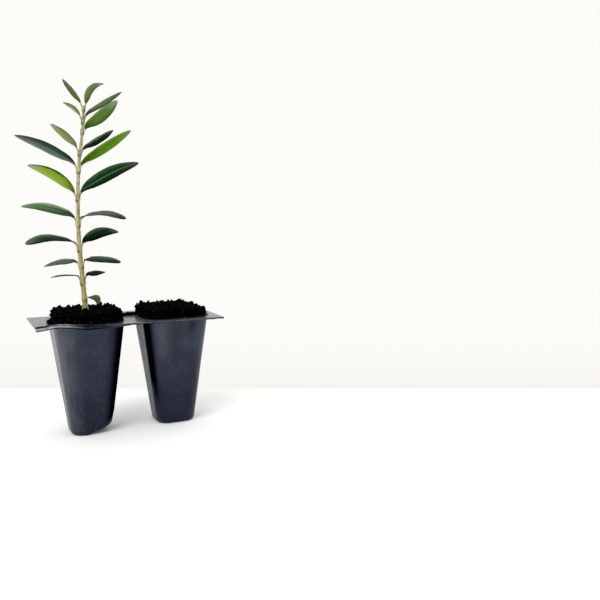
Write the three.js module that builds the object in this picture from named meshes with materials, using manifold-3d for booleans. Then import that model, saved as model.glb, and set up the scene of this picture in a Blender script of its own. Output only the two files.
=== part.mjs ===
// A young olive starter plant in a two-cell strip of black propagation tray.
// Millimetres, +Z up. The origin is the middle of the planted cell's underside. The second cell lies at +X.
import * as THREE from 'three';
import { mergeVertices } from 'three/addons/utils/BufferGeometryUtils.js';
import Module from 'manifold-3d';

const wasm = await Module();
wasm.setup();

// Gap kept between pieces that touch on the real plant.
const GAP = 0.3;
const DEGREE = Math.PI / 180;

// The tray is one vacuum-formed sheet: two tapered cells that hang from a flange.
const PITCH = 65.2;
const TRAY_HEIGHT = 85;
const SHEET = 0.8;
const FLANGE = 1.0;
const MOUTH_SIDE = 51.2;
const FOOT_SIDE = 30;
const MOUTH_CORNER = 13;
const FOOT_CORNER = 9.5;
const FOOT_FILLET = 2.4;
const CELL_SIDES = 40;
const CELL_LEVELS = [10, 24, 50];
const FOOT_RINGS = [0.12, 0.3, 0.55];
const FILLET_STEPS = 3;

// The strip was cut from a bigger tray by hand, so its front and right edges run a little out of square.
const LEFT_END = -38.6;
const RIGHT_END = 97.4;
const FRONT_LEFT = -28;
const FRONT_RIGHT = -34;
const BACK = 30.5;
const BACK_CORNER = 9;
const CURVE_STEPS = 6;

// The cut bent the front edge: it curls up before the planted cell, where its turned-down rim is deepest.
const FOLD_Y = -25.9;
const CURL_CORNER = 1.1;
const CURL_HEIGHT = 2.9;
const CURL_PEAK = -29;
const CURL_END = 18;
const RIM_LEFT = 2.5;
const RIM_RIGHT = 1.3;
const RIM_FROM = -20;
const RIM_TO = 50;
const RIM_TOP = 0.8;
const RIM_THICK = 0.9;
const LIP_END = 8;
const LIP_OUT = 1.3;
const LIP_THICK = 0.9;
const STRIP_STEPS = 20;

// The planted cell's foot is pushed up on the side that faces the second cell.
const DENT_START = 2;
const DENT_HEIGHT = 5;
const DENT_FADE = 16;
const DENT_BEND = 1.2;

const DRAIN_DIAMETER = 3.4;
const DRAIN_OFFSET = 6.5;
const DRAIN_SIDES = 12;
const DRAIN_CUT = 24;

// The compost fills each cell and stands above the flange as a crumbly block.
const COMPOST_TOP = 93;
const BLOCK_SIDE = 46.8;
const BLOCK_SHIFT = 0.5;
const BLOCK_CORNER = 12;
const BLOCK_SKIRT = 1.6;
const SPARE_BLOCK_SIDE = 48;
const BLOCK_RINGS = [0.97, 0.86, 0.72, 0.56, 0.4, 0.26, 0.14];
const BLOCK_LEVELS = [0.25, 0.5, 0.75];
const SKIRT_HEIGHT = 2;
const LUMP = 1.3;
const LUMP_SCALE = 1.9;
const EDGE_ZONE = 0.9;
const EDGE_LUMP = 1.6;
const EDGE_RISE = 0.25;
const PAD_RADIUS = 6;
const SPILL_LENGTH = 14.2;
const SPILL_WIDTH = 5;
const SPILL_HEIGHT = 2.1;
const SPILL_Y = 8;
const SPILL_SIDES = 8;
const SPILL_LUMP = 0.25;
const SPILL_WAVES = 9;

// The stem: the places that its lean and slow curve pass through, then its taper.
const STEM_FOOT = COMPOST_TOP + GAP;
const STEM_TOP = 242;
const STEM_PATH = [
  [0, STEM_FOOT], [-1.2, 117], [-2.5, 144], [-2.3, 168], [-0.3, 199.5], [2.7, 220], [5, STEM_TOP],
];
const FOOT_RADIUS = 1.9;
const TOP_RADIUS = 0.95;
const FLARE = 0.6;
const FLARE_HEIGHT = 5;
const NODE_SWELLING = 0.32;
const NODE_LENGTH = 2.2;
const BUD_LENGTH = 2.6;
const STEM_SIDES = 10;
const STEM_ROWS = 66;
const HALVINGS = 30;

// Leaves stand in opposite pairs, each pair a quarter turn round from the last.
const FIRST_AXIS = -55;
const QUARTER = 90;
const PETIOLE_RISE = 4.2;
const PETIOLE_STAND = 1.3;
const PETIOLE_HALF = 0.5;
const LEAF_SIDES = 6;
const LEAF_ROWS = 15;
const THICK_SHARE = 0.013;
const THICK_LEAST = 0.6;
const FOLD = 0.2;
const WIDEST = 0.9;
const FULLNESS = 0.64;
const ROLL_RUN = 0.15;
const TIP_RUN = 1 / 12;
const STALK_SHARE = 0.9;
const SHORT_STALK = 0.12;

// One entry for each pair from the top down. node is the height where the stalks leave the stem.
// On each leaf, reach runs from the stem's axis out to the tip, and rise from the node up to the tip.
// arch is how far the middle stands above a straight blade, and roll turns the blade about its midrib.
// climb and stand, where given, are the stalk's own in place of PETIOLE_RISE and PETIOLE_STAND.
// tint, where given, is the finish in place of dark.
const PAIRS = [
  { node: 240,
    left: { reach: 20, rise: 22, arch: 0, width: 4.5, roll: -28 },
    right: { reach: 20, rise: 15.5, arch: 4.5, width: 6, roll: -15, climb: 3.4, stand: 0.3, tint: 'bright' } },
  { node: 231,
    left: { reach: 18.5, rise: 10.5, arch: 1.4, width: 3.8, roll: 20, tint: 'pale' },
    right: { reach: 42, rise: 26, arch: 0, width: 7, roll: 16 } },
  { node: 223.5,
    right: { reach: 34, rise: 19.5, arch: -1.4, width: 9.6, roll: -25, climb: 2, tint: 'bright' } },
  { node: 208,
    left: { reach: 26.5, rise: 18, arch: 0.7, width: 6.2, roll: 25, tint: 'pale' },
    right: { reach: 35.5, rise: 19.5, arch: -0.6, width: 6.8, roll: 28, climb: 2.8 } },
  { node: 195.5,
    left: { reach: 65, rise: 28, arch: 2.2, width: 8.6, roll: -40 },
    right: { reach: 50.5, rise: 26, arch: 0, width: 8.6, roll: -24, tint: 'bright' } },
  { node: 175.5,
    left: { reach: 44.5, rise: 21.5, arch: 3.4, width: 8.8, roll: 34, tint: 'lime' },
    right: { reach: 68, rise: 29, arch: 2.8, width: 11, roll: 44 } },
  { node: 157,
    left: { reach: 59, rise: 12.5, arch: 3, width: 8.4, roll: -45 },
    right: { reach: 45.5, rise: 3.5, arch: 3.4, width: 8, roll: 12 } },
  { node: 138.5,
    left: { reach: 49, rise: 5.5, arch: 3.9, width: 8.2, roll: -35 },
    right: { reach: 42, rise: 11, arch: 3.4, width: 9.4, roll: 45 } },
  { node: 126,
    left: { reach: 39, rise: -2.5, arch: 1.6, width: 6.6, roll: -40, climb: 2.2 },
    right: { reach: 38.5, rise: 3.5, arch: 1.2, width: 7, roll: 35 } },
  { node: 114,
    left: { reach: 30.5, rise: 5.5, arch: 0.8, width: 4.5, roll: -4 },
    right: { reach: 24.5, rise: 5, arch: 0.5, width: 5, roll: 40 } },
  { node: 102,
    right: { reach: 14, rise: -4, arch: 0, width: 5.2, roll: 40, short: true } },
];

const FINISH = {
  tray: new THREE.MeshStandardMaterial({ color: 0x2b2d36, roughness: 0.42, metalness: 0 }),
  compost: new THREE.MeshStandardMaterial({ color: 0x0f0d0c, roughness: 1, metalness: 0 }),
  stem: new THREE.MeshStandardMaterial({ color: 0xb9a98a, roughness: 0.8, metalness: 0 }),
  dark: new THREE.MeshStandardMaterial({ color: 0x2f5634, roughness: 0.5, metalness: 0 }),
  bright: new THREE.MeshStandardMaterial({ color: 0x5a8a34, roughness: 0.6, metalness: 0 }),
  pale: new THREE.MeshStandardMaterial({ color: 0x93a86c, roughness: 0.7, metalness: 0 }),
  lime: new THREE.MeshStandardMaterial({ color: 0x94b83c, roughness: 0.6, metalness: 0 }),
};

// Seamless made-up noise: a few sines of the place, from about -1 to 1.
function lumps(x, y, z, scale) {
  const [u, v, w] = [x / scale, y / scale, z / scale];
  return (Math.sin(u * 1.7 + 2.1 * Math.sin(v * 1.3 + w)) + Math.sin(v * 2.3 + 1.7 * Math.sin(w * 1.9 - u))
    + Math.sin(w * 2.9 + 1.3 * Math.sin(u * 2.1 + v))) / 3;
}

// Keep only the positions, join equal corners and drop the triangles that this leaves without area.
function closed(geometry) {
  const bare = new THREE.BufferGeometry();
  bare.setAttribute('position', geometry.getAttribute('position'));
  if (geometry.index) bare.setIndex(geometry.index);
  const merged = mergeVertices(bare);
  const kept = [];
  const index = merged.index.array;
  for (let i = 0; i < index.length; i += 3) {
    const [a, b, c] = [index[i], index[i + 1], index[i + 2]];
    if (a !== b && b !== c && c !== a) kept.push(a, b, c);
  }
  merged.setIndex(kept);
  return merged;
}

// Bend a plain cylinder into a limb. place(around, along, out) gives each corner its place.
// around is the angle, along runs from 0 at the foot to 1 at the tip, out is 0 on the axis and 1 on the skin.
function limb(sides, rows, place) {
  const geometry = new THREE.CylinderGeometry(1, 1, 1, sides, rows);
  const position = geometry.getAttribute('position');
  for (let i = 0; i < position.count; i += 1) {
    const [x, y, z] = [position.getX(i), position.getY(i), position.getZ(i)];
    const spot = place(Math.atan2(x, z), y + 0.5, Math.round(Math.hypot(x, z)));
    position.setXYZ(i, spot.x, spot.y, spot.z);
  }
  return closed(geometry);
}

// Distance from the centre of a rounded square to its edge, in the direction of angle.
function squareReach(side, corner, angle) {
  const [c, s] = [Math.abs(Math.cos(angle)), Math.abs(Math.sin(angle))];
  const half = side / 2;
  const straight = half / Math.max(c, s);
  const flat = half - corner;
  if (straight * Math.min(c, s) <= flat) return straight;
  const along = flat * (c + s);
  return along + Math.sqrt(along * along - 2 * flat * flat + corner * corner);
}

// Turn a profile of [share of the outline, height] round the Z axis, over rounded squares.
// side(z) and corner(z) give the square's side and the radius of its corners at each height.
function squareLathe(profile, side, corner, sides = CELL_SIDES) {
  const points = profile.map(([share, z]) => new THREE.Vector2(share, z));
  const geometry = new THREE.LatheGeometry(points, sides);
  geometry.rotateX(Math.PI / 2);
  const position = geometry.getAttribute('position');
  for (let i = 0; i < position.count; i += 1) {
    const [x, y, z] = [position.getX(i), position.getY(i), position.getZ(i)];
    const angle = Math.atan2(y, x);
    const reach = Math.hypot(x, y) * squareReach(side(z), corner(z), angle);
    position.setXYZ(i, reach * Math.cos(angle), reach * Math.sin(angle), z);
  }
  return closed(geometry);
}

function solid(geometry) {
  const triVerts = Uint32Array.from(geometry.index.array);
  const vertProperties = Float32Array.from(geometry.getAttribute('position').array);
  return new wasm.Manifold(new wasm.Mesh({ numProp: 3, vertProperties, triVerts }));
}

function skinOf(manifold) {
  const { vertProperties, triVerts } = manifold.getMesh();
  const geometry = new THREE.BufferGeometry();
  geometry.setAttribute('position', new THREE.BufferAttribute(Float32Array.from(vertProperties), 3));
  geometry.setIndex(Array.from(triVerts));
  return geometry;
}

const cellSide = (z) => FOOT_SIDE + ((MOUTH_SIDE - FOOT_SIDE) * z) / TRAY_HEIGHT;
const cellCorner = (z) => FOOT_CORNER + ((MOUTH_CORNER - FOOT_CORNER) * z) / TRAY_HEIGHT;

// How far the planted cell's foot is pushed up at x: nothing up to the dent, then more and more to the edge.
function dent(x, z) {
  const share = Math.max(0, (x - DENT_START) / (FOOT_SIDE / 2 - DENT_START));
  const fade = Math.max(0, 1 - z / DENT_FADE);
  return DENT_HEIGHT * share ** DENT_BEND * fade;
}

// The solid shape of a cell, drawn in by inset all round: the sheet's outside, its inside, or the compost.
function cellShape(inset, top, dented) {
  const side = (z) => cellSide(z) - 2 * inset;
  const corner = (z) => cellCorner(z) - inset;
  const profile = [[0, inset], ...FOOT_RINGS.map((share) => [share, inset])];
  for (let step = 0; step <= FILLET_STEPS; step += 1) {
    const turn = (step / FILLET_STEPS) * (Math.PI / 2);
    const drawn = FOOT_FILLET * (1 - Math.sin(turn));
    profile.push([1 - (2 * drawn) / side(inset), inset + FOOT_FILLET * (1 - Math.cos(turn))]);
  }
  for (const z of [...CELL_LEVELS, top]) profile.push([1, z]);
  profile.push([0, top]);
  const geometry = squareLathe(profile, side, corner);
  if (dented) {
    const position = geometry.getAttribute('position');
    for (let i = 0; i < position.count; i += 1) {
      const z = position.getZ(i);
      position.setZ(i, z + dent(position.getX(i), z));
    }
  }
  return geometry;
}

// The flat part of the flange, up to the fold where its front edge starts to curl.
function flangePlate() {
  const outline = new THREE.Shape();
  outline.moveTo(LEFT_END, FOLD_Y);
  outline.lineTo(RIGHT_END, FOLD_Y);
  outline.lineTo(RIGHT_END, BACK - BACK_CORNER);
  outline.absarc(RIGHT_END - BACK_CORNER, BACK - BACK_CORNER, BACK_CORNER, 0, Math.PI / 2);
  outline.lineTo(LEFT_END, BACK);
  outline.closePath();
  const settings = { depth: FLANGE, bevelEnabled: false, curveSegments: CURVE_STEPS };
  return new THREE.ExtrudeGeometry(outline, settings).translate(0, 0, TRAY_HEIGHT - FLANGE);
}

// The cut front edge at x: its place, how high it curls up, and how deep its rim hangs.
const frontY = (x) => FRONT_LEFT + ((FRONT_RIGHT - FRONT_LEFT) * (x - LEFT_END)) / (RIGHT_END - LEFT_END);

function curl(x) {
  if (x > CURL_PEAK) return CURL_HEIGHT * Math.max(0, 1 - (x - CURL_PEAK) / (CURL_END - CURL_PEAK));
  return CURL_CORNER + ((CURL_HEIGHT - CURL_CORNER) * (x - LEFT_END)) / (CURL_PEAK - LEFT_END);
}

function rimDepth(x) {
  const share = Math.min(1, Math.max(0, (x - RIM_FROM) / (RIM_TO - RIM_FROM)));
  return RIM_LEFT + (RIM_RIGHT - RIM_LEFT) * share;
}

// A strip along the front edge, from the left end to toX.
// corner(x, outer, upper) gives each corner's y, and its height above the flat flange.
function frontStrip(toX, corner) {
  const strip = new THREE.BoxGeometry(1, 1, 1, STRIP_STEPS, 1, 1);
  const position = strip.getAttribute('position');
  for (let i = 0; i < position.count; i += 1) {
    const x = LEFT_END + (toX - LEFT_END) * (position.getX(i) + 0.5);
    const [y, height] = corner(x, position.getY(i) < 0, position.getZ(i) > 0);
    position.setXYZ(i, x, y, TRAY_HEIGHT + height);
  }
  return closed(strip);
}

// The flange beyond the fold, which curls up to the cut edge.
const apron = () => frontStrip(RIGHT_END, (x, outer, upper) => [
  outer ? frontY(x) : FOLD_Y + RIM_THICK, (outer ? curl(x) : 0) - (upper ? 0 : FLANGE)]);

// The rim that hangs from the cut edge.
const rim = () => frontStrip(RIGHT_END, (x, outer, upper) => [
  frontY(x) + (outer ? 0 : RIM_THICK), curl(x) - (upper ? RIM_TOP : rimDepth(x))]);

// The thin lip that the cut left along the rim's foot, narrowing to nothing at its right end.
const lip = () => frontStrip(LIP_END, (x, outer, upper) => [
  frontY(x) + (outer ? (LIP_OUT * (x - LIP_END)) / (LIP_END - LEFT_END) : RIM_THICK / 2),
  curl(x) - rimDepth(x) + (upper ? LIP_THICK : 0)]);

function drainHole(x, y) {
  const hole = new THREE.CylinderGeometry(DRAIN_DIAMETER / 2, DRAIN_DIAMETER / 2, DRAIN_CUT, DRAIN_SIDES);
  return hole.rotateX(Math.PI / 2).translate(x, y, 0);
}

function trayShell() {
  let shell = solid(closed(flangePlate()));
  for (const strip of [apron(), rim(), lip()]) shell = shell.add(solid(strip));
  for (const x of [0, PITCH]) {
    shell = shell.add(solid(cellShape(0, TRAY_HEIGHT, x === 0).translate(x, 0, 0)));
  }
  for (const x of [0, PITCH]) {
    const inside = cellShape(SHEET, TRAY_HEIGHT + FLANGE, x === 0);
    shell = shell.subtract(solid(inside.translate(x, 0, 0)));
    for (const dx of [-DRAIN_OFFSET, DRAIN_OFFSET]) {
      for (const dy of [-DRAIN_OFFSET, DRAIN_OFFSET]) {
        shell = shell.subtract(solid(closed(drainHole(x + dx, dy))));
      }
    }
  }
  return skinOf(shell);
}

// Compost from the foot of a cell up to its crumbly block, whose middle lies at shift from the cell's.
// With pad it has a flat place for the stem.
function compostBody(x, blockSide, shift, pad) {
  const inset = SHEET + GAP;
  const fill = solid(cellShape(inset, TRAY_HEIGHT + 2 * GAP, x === 0));
  const brim = TRAY_HEIGHT + GAP;
  const profile = [[0, brim], [1, brim]];
  for (const share of BLOCK_LEVELS) profile.push([1, brim + (COMPOST_TOP - brim) * share]);
  for (const share of BLOCK_RINGS) profile.push([share, COMPOST_TOP]);
  profile.push([0, COMPOST_TOP]);
  const side = (z) => blockSide + BLOCK_SKIRT * Math.max(0, 1 - (z - brim) / SKIRT_HEIGHT);
  const block = squareLathe(profile, side, () => BLOCK_CORNER);
  const position = block.getAttribute('position');
  for (let i = 0; i < position.count; i += 1) {
    const [px, py, pz] = [position.getX(i), position.getY(i), position.getZ(i)];
    const radius = Math.hypot(px, py);
    const rough = LUMP * lumps(px + x, py, pz, LUMP_SCALE);
    const risen = (pz - brim) / (COMPOST_TOP - brim);
    const onTop = risen > 0.99 && !(pad && radius < PAD_RADIUS);
    const atEdge = radius > EDGE_ZONE * (blockSide / 2);
    const pushed = atEdge ? (rough / blockSide) * EDGE_LUMP * Math.min(1, risen / EDGE_RISE) : 0;
    position.setXYZ(i, px * (1 + pushed) + shift, py * (1 + pushed), onTop ? pz + rough : pz);
  }
  return fill.add(solid(block)).translate([x, 0, 0]);
}

// A ridge of crumbs that lies on the flange between the two blocks.
function spill() {
  const ridge = limb(SPILL_SIDES, SPILL_SIDES, (around, along, out) => {
    const thick = out * (1 + SPILL_LUMP * lumps(along * SPILL_WAVES, around, 0, 1));
    return new THREE.Vector3(
      PITCH / 2 + (along - 0.5) * SPILL_LENGTH,
      SPILL_Y - (thick * SPILL_WIDTH * Math.sin(around)) / 2 + along,
      TRAY_HEIGHT + GAP + (SPILL_HEIGHT * (1 + thick * Math.cos(around))) / 2,
    );
  });
  const position = ridge.getAttribute('position');
  for (let i = 0; i < position.count; i += 1) {
    position.setZ(i, Math.max(position.getZ(i), TRAY_HEIGHT + GAP));
  }
  return ridge;
}

const stemPoints = STEM_PATH.map(([x, z]) => new THREE.Vector3(x, 0, z));
const stemCurve = new THREE.CatmullRomCurve3(stemPoints, false, 'centripetal');

// The curve's share at height z, found by halving.
function shareAt(z) {
  let [low, high] = [0, 1];
  for (let i = 0; i < HALVINGS; i += 1) {
    const middle = (low + high) / 2;
    if (stemCurve.getPoint(middle).z < z) low = middle;
    else high = middle;
  }
  return (low + high) / 2;
}

const stemX = (z) => stemCurve.getPoint(shareAt(z)).x;

// The radius at height z, plain, and with the swellings under the leaf pairs and the flare at the foot.
const taper = (z) => FOOT_RADIUS + ((TOP_RADIUS - FOOT_RADIUS) * (z - STEM_FOOT)) / (STEM_TOP - STEM_FOOT);
function stemRadius(z) {
  const flare = FLARE * Math.max(0, 1 - (z - STEM_FOOT) / FLARE_HEIGHT) ** 2;
  const swelling = PAIRS.reduce((most, { node }) => {
    const near = Math.abs(z - (node - NODE_LENGTH / 2)) / NODE_LENGTH;
    return Math.max(most, NODE_SWELLING * Math.max(0, 1 - near * near));
  }, 0);
  return taper(z) + flare + swelling;
}

// The stem is whole from its flat foot to the bud at its tip.
function stem() {
  const bud = BUD_LENGTH / (STEM_TOP - STEM_FOOT);
  return limb(STEM_SIDES, STEM_ROWS, (around, along, out) => {
    const share = along === 0 ? 0 : shareAt(STEM_FOOT + (STEM_TOP - STEM_FOOT) * along);
    const centre = stemCurve.getPoint(share);
    const pointed = Math.sqrt(Math.min(1, (1 - along) / bud));
    const radius = out * stemRadius(centre.z) * pointed;
    return new THREE.Vector3(centre.x + radius * Math.cos(around), radius * Math.sin(around), centre.z);
  });
}

// The midrib of a leaf, as a curve in the upright plane that its heading gives.
function midrib(heading, node, leaf) {
  const start = stemRadius(node) + GAP + PETIOLE_HALF;
  const at = (out, up) => new THREE.Vector3(
    stemX(node) + out * Math.cos(heading), out * Math.sin(heading), node + up);
  if (leaf.short) {
    const hook = [at(start, 0), at(start + 3, 0.6), at(leaf.reach - 1.5, 0), at(leaf.reach, leaf.rise)];
    return new THREE.CatmullRomCurve3(hook, false, 'centripetal');
  }
  const { climb = PETIOLE_RISE, stand = PETIOLE_STAND } = leaf;
  const base = new THREE.Vector2(start + stand, climb);
  const chord = new THREE.Vector2(leaf.reach, leaf.rise).sub(base);
  const upright = new THREE.Vector2(-chord.y, chord.x).normalize();
  const bowed = [1 / 3, 2 / 3].map((share) => base.clone().addScaledVector(chord, share)
    .addScaledVector(upright, 4 * leaf.arch * share * (1 - share)));
  const blade = [base, ...bowed].map((point) => at(point.x, point.y));
  const points = [at(start, 0), ...blade, at(leaf.reach, leaf.rise)];
  return new THREE.CatmullRomCurve3(points, false, 'centripetal');
}

// A leaf is a stalk that widens into a pointed blade with a shallow fold along its midrib.
function leafBlade(heading, node, leaf) {
  const curve = midrib(heading, node, leaf);
  const length = curve.getLength();
  const stalk = leaf.short ? SHORT_STALK : (STALK_SHARE * (leaf.climb ?? PETIOLE_RISE)) / length;
  const thick = Math.max(THICK_LEAST, THICK_SHARE * length);
  const side = new THREE.Vector3(-Math.sin(heading), Math.cos(heading), 0);
  return limb(LEAF_SIDES, LEAF_ROWS, (around, along, out) => {
    const run = along < 0.001 ? 0 : along;
    const blade = Math.max(0, (run - stalk) / (1 - stalk));
    const centre = curve.getPointAt(run);
    const tangent = curve.getTangentAt(run);
    const half = Math.max((leaf.width / 2) * Math.sin(Math.PI * blade ** WIDEST) ** FULLNESS, PETIOLE_HALF);
    const tip = Math.min(1, (1 - run) / TIP_RUN);
    const opened = Math.min(1, blade / ROLL_RUN);
    const roll = leaf.roll * DEGREE * opened;
    const across = side.clone().applyAxisAngle(tangent, roll);
    const up = tangent.clone().cross(across);
    const wide = (-out * tip * half * Math.sin(around)) / Math.cos(Math.PI / LEAF_SIDES);
    const high = out * tip * (Math.max(thick, blade > 0 ? 0 : 2 * PETIOLE_HALF) / 2) * Math.cos(around);
    const fold = FOLD * Math.abs(wide) * opened;
    return centre.addScaledVector(across, wide).addScaledVector(up, high + fold);
  });
}

const plant = new THREE.Group();
plant.name = 'olive_starter_plant';

function piece(name, geometry, material) {
  const mesh = new THREE.Mesh(geometry, material);
  mesh.name = name;
  plant.add(mesh);
}

piece('tray', trayShell(), FINISH.tray);
piece('compost_planted', skinOf(compostBody(0, BLOCK_SIDE, BLOCK_SHIFT, true)), FINISH.compost);
piece('compost_spare', skinOf(compostBody(PITCH, SPARE_BLOCK_SIDE, 0, false)), FINISH.compost);
piece('compost_spill', spill(), FINISH.compost);
piece('trunk', stem(), FINISH.stem);

PAIRS.forEach((pair, index) => {
  const axis = FIRST_AXIS + QUARTER * (index % 2);
  const number = String(index + 1).padStart(2, '0');
  for (const [name, turn] of [['left', 180], ['right', 0]]) {
    const leaf = pair[name];
    if (!leaf) continue;
    const blade = leafBlade((axis + turn) * DEGREE, pair.node, leaf);
    piece(`leaf_${number}_${name}`, blade, FINISH[leaf.tint ?? 'dark']);
  }
});

export default plant;
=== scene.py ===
"""The looks of a potted olive seedling that stands in a strip of two propagation cells.

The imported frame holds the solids. Each class here builds one sub-assembly again as finer meshes in the same
place, dresses it, and says which solids it stands for. Meshes are made in millimetres and scaled to metres at
the end.
"""

import logging
import math
import random
from bisect import bisect_right
from collections.abc import Callable, Iterable, Sequence
from dataclasses import dataclass, field, replace
from enum import Enum
from functools import cached_property

import bmesh
import bpy
from mathutils import Matrix, Quaternion, Vector, noise


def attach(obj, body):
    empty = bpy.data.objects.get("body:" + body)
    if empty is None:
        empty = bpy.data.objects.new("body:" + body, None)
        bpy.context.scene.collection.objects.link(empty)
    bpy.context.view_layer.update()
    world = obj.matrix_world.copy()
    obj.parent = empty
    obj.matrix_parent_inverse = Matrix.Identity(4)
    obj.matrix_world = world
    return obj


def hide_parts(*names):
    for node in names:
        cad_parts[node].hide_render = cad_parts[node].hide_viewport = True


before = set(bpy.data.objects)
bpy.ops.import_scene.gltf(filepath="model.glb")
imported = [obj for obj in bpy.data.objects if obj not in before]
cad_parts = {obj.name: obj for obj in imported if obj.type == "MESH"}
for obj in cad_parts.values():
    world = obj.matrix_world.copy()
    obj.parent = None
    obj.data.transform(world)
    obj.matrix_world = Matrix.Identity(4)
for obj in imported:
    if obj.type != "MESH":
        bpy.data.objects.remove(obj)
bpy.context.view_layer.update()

log = logging.getLogger("olive")

Colour = tuple[float, float, float, float]
Screen = tuple[int, int, int]
Socket = bpy.types.NodeSocket
Material = bpy.types.Material
Place = Callable[[float, float], Vector]
Mark = Callable[[float, float], tuple[float, float]]

MM = 0.001
TURN = 2 * math.pi
BLACK: Colour = (0.0, 0.0, 0.0, 1.0)


class Slot(Enum):
    """The record's material slots."""

    TRAY = "tray"
    COMPOST = "compost"
    STEM = "stem"
    LEAF_DARK = "leaf_dark"
    LEAF_BRIGHT = "leaf_bright"
    LEAF_PALE = "leaf_pale"
    LEAF_LIME = "leaf_lime"


class Side(Enum):
    """Which way a leaf leaves the stem, with the turn that this adds to its pair's axis in degrees."""

    LEFT = 180
    RIGHT = 0


def tone(red: int, green: int, blue: int) -> Colour:
    """Turns a judged screen colour into a shader's linear colour.

    Args:
        red: From 0 to 255, as are the other two.
        green: See red.
        blue: See red.

    Returns:
        The linear colour, opaque.
    """
    def linear(channel: int) -> float:
        """Undoes the screen curve for one channel."""
        share = channel / 255
        return share / 12.92 if share <= 0.04045 else ((share + 0.055) / 1.055) ** 2.4

    return linear(red), linear(green), linear(blue), 1.0


def blend(low: Colour, high: Colour, share: float) -> Colour:
    """Gives the colour at a share of the way from low to high."""
    red, green, blue = (a + (b - a) * share for a, b in zip(low[:3], high[:3]))
    return red, green, blue, 1.0


def ease(low: float, high: float, value: float) -> float:
    """Gives 0 up to low, 1 from high, and a smooth step between them."""
    share = min(1.0, max(0.0, (value - low) / (high - low)))
    return share * share * (3 - 2 * share)


def hump(distance: float, width: float) -> float:
    """Gives 1 at no distance, falling off as a bell of that width."""
    return math.exp(-((distance / width) ** 2))


@dataclass(frozen=True)
class Band:
    """A stretch of values that fades in between its first two numbers and out between its last two."""

    start: float
    full: float
    fading: float
    end: float

    def at(self, value: float) -> float:
        """Gives 1 inside the band and 0 outside it, with smooth steps between."""
        return ease(self.start, self.full, value) * (1 - ease(self.fading, self.end, value))


@dataclass(frozen=True)
class Swell:
    """A bell-shaped rise along a line: its height, where its middle lies, and its width."""

    height: float
    middle: float
    width: float

    def at(self, value: float) -> float:
        """How high it is at a value."""
        return self.height * hump(value - self.middle, self.width)


def around(reach: float, angle: float, z: float, x: float = 0.0) -> Vector:
    """The point at that reach and angle round an upright axis at x, at a height."""
    return Vector((x + reach * math.cos(angle), reach * math.sin(angle), z))


def swing(angle: float, heading: float) -> float:
    """The turn from a heading to an angle, the short way round, in radians."""
    return math.remainder(angle - heading, TURN)


def stand(name: str, data: bpy.types.ID) -> bpy.types.Object:
    """Makes an object of that data and puts it in the scene."""
    made = bpy.data.objects.new(name, data)
    bpy.context.scene.collection.objects.link(made)
    return made


def aim(made: bpy.types.Object, look: Vector) -> None:
    """Turns a camera or a light to look that way."""
    made.rotation_mode = "QUATERNION"
    made.rotation_quaternion = look.to_track_quat("-Z", "Y")


def lumps(place: Vector, scale: float) -> float:
    """The source's made-up noise, a few sines of the place, from about -1 to 1."""
    u, v, w = place / scale
    return (math.sin(u * 1.7 + 2.1 * math.sin(v * 1.3 + w)) + math.sin(v * 2.3 + 1.7 * math.sin(w * 1.9 - u))
            + math.sin(w * 2.9 + 1.3 * math.sin(u * 2.1 + v))) / 3


def square_reach(side: float, corner: float, angle: float) -> float:
    """Distance from the middle of a rounded square to its edge.

    Args:
        side: The square's side.
        corner: The radius of its corners.
        angle: The direction, in radians.

    Returns:
        The distance in the same unit.
    """
    c, s = abs(math.cos(angle)), abs(math.sin(angle))
    half = side / 2
    straight = half / max(c, s)
    flat = half - corner
    if straight * min(c, s) <= flat:
        return straight
    along = flat * (c + s)
    return along + math.sqrt(max(0.0, along * along - 2 * flat * flat + corner * corner))


@dataclass(frozen=True)
class Spline:
    """The source's curve: centripetal Catmull-Rom through a few points."""

    points: tuple[Vector, ...]
    steps: int = 200

    def raw(self, share: float) -> Vector:
        """The point at a share of the spans, which differ in length."""
        spans = len(self.points) - 1
        place = min(max(share, 0.0), 1.0) * spans
        index = min(int(place), spans - 1)
        local = place - index
        a, b = self.points[index], self.points[index + 1]
        before = self.points[index - 1] if index else a * 2 - b
        after = self.points[index + 2] if index + 2 <= spans else b * 2 - a
        gaps = [math.sqrt((q - p).length) for p, q in ((before, a), (a, b), (b, after))]
        leave = ((a - before) / gaps[0] - (b - before) / (gaps[0] + gaps[1]) + (b - a) / gaps[1]) * gaps[1]
        meet = ((b - a) / gaps[1] - (after - a) / (gaps[1] + gaps[2]) + (after - b) / gaps[2]) * gaps[1]
        bend = (b - a) * 3 - leave * 2 - meet
        twist = (a - b) * 2 + leave + meet
        return a + (leave + (bend + twist * local) * local) * local

    @cached_property
    def marks(self) -> list[float]:
        """The length run at each step."""
        run, marks, last = 0.0, [0.0], self.raw(0)
        for step in range(1, self.steps + 1):
            here = self.raw(step / self.steps)
            run += (here - last).length
            marks.append(run)
            last = here
        return marks

    @property
    def length(self) -> float:
        """The whole length."""
        return self.marks[-1]

    def share(self, run: float) -> float:
        """The share of the spans at a share of the length."""
        goal = min(max(run, 0.0), 1.0) * self.length
        index = min(bisect_right(self.marks, goal) - 1, self.steps - 1)
        low, high = self.marks[index], self.marks[index + 1]
        return (index + (goal - low) / (high - low)) / self.steps

    def even(self, run: float) -> Vector:
        """The point at a share of the length."""
        return self.raw(self.share(run))

    def heading(self, run: float) -> Vector:
        """The direction of the curve at a share of the length."""
        share = self.share(run)
        return (self.raw(share + 0.0005) - self.raw(share - 0.0005)).normalized()


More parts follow.
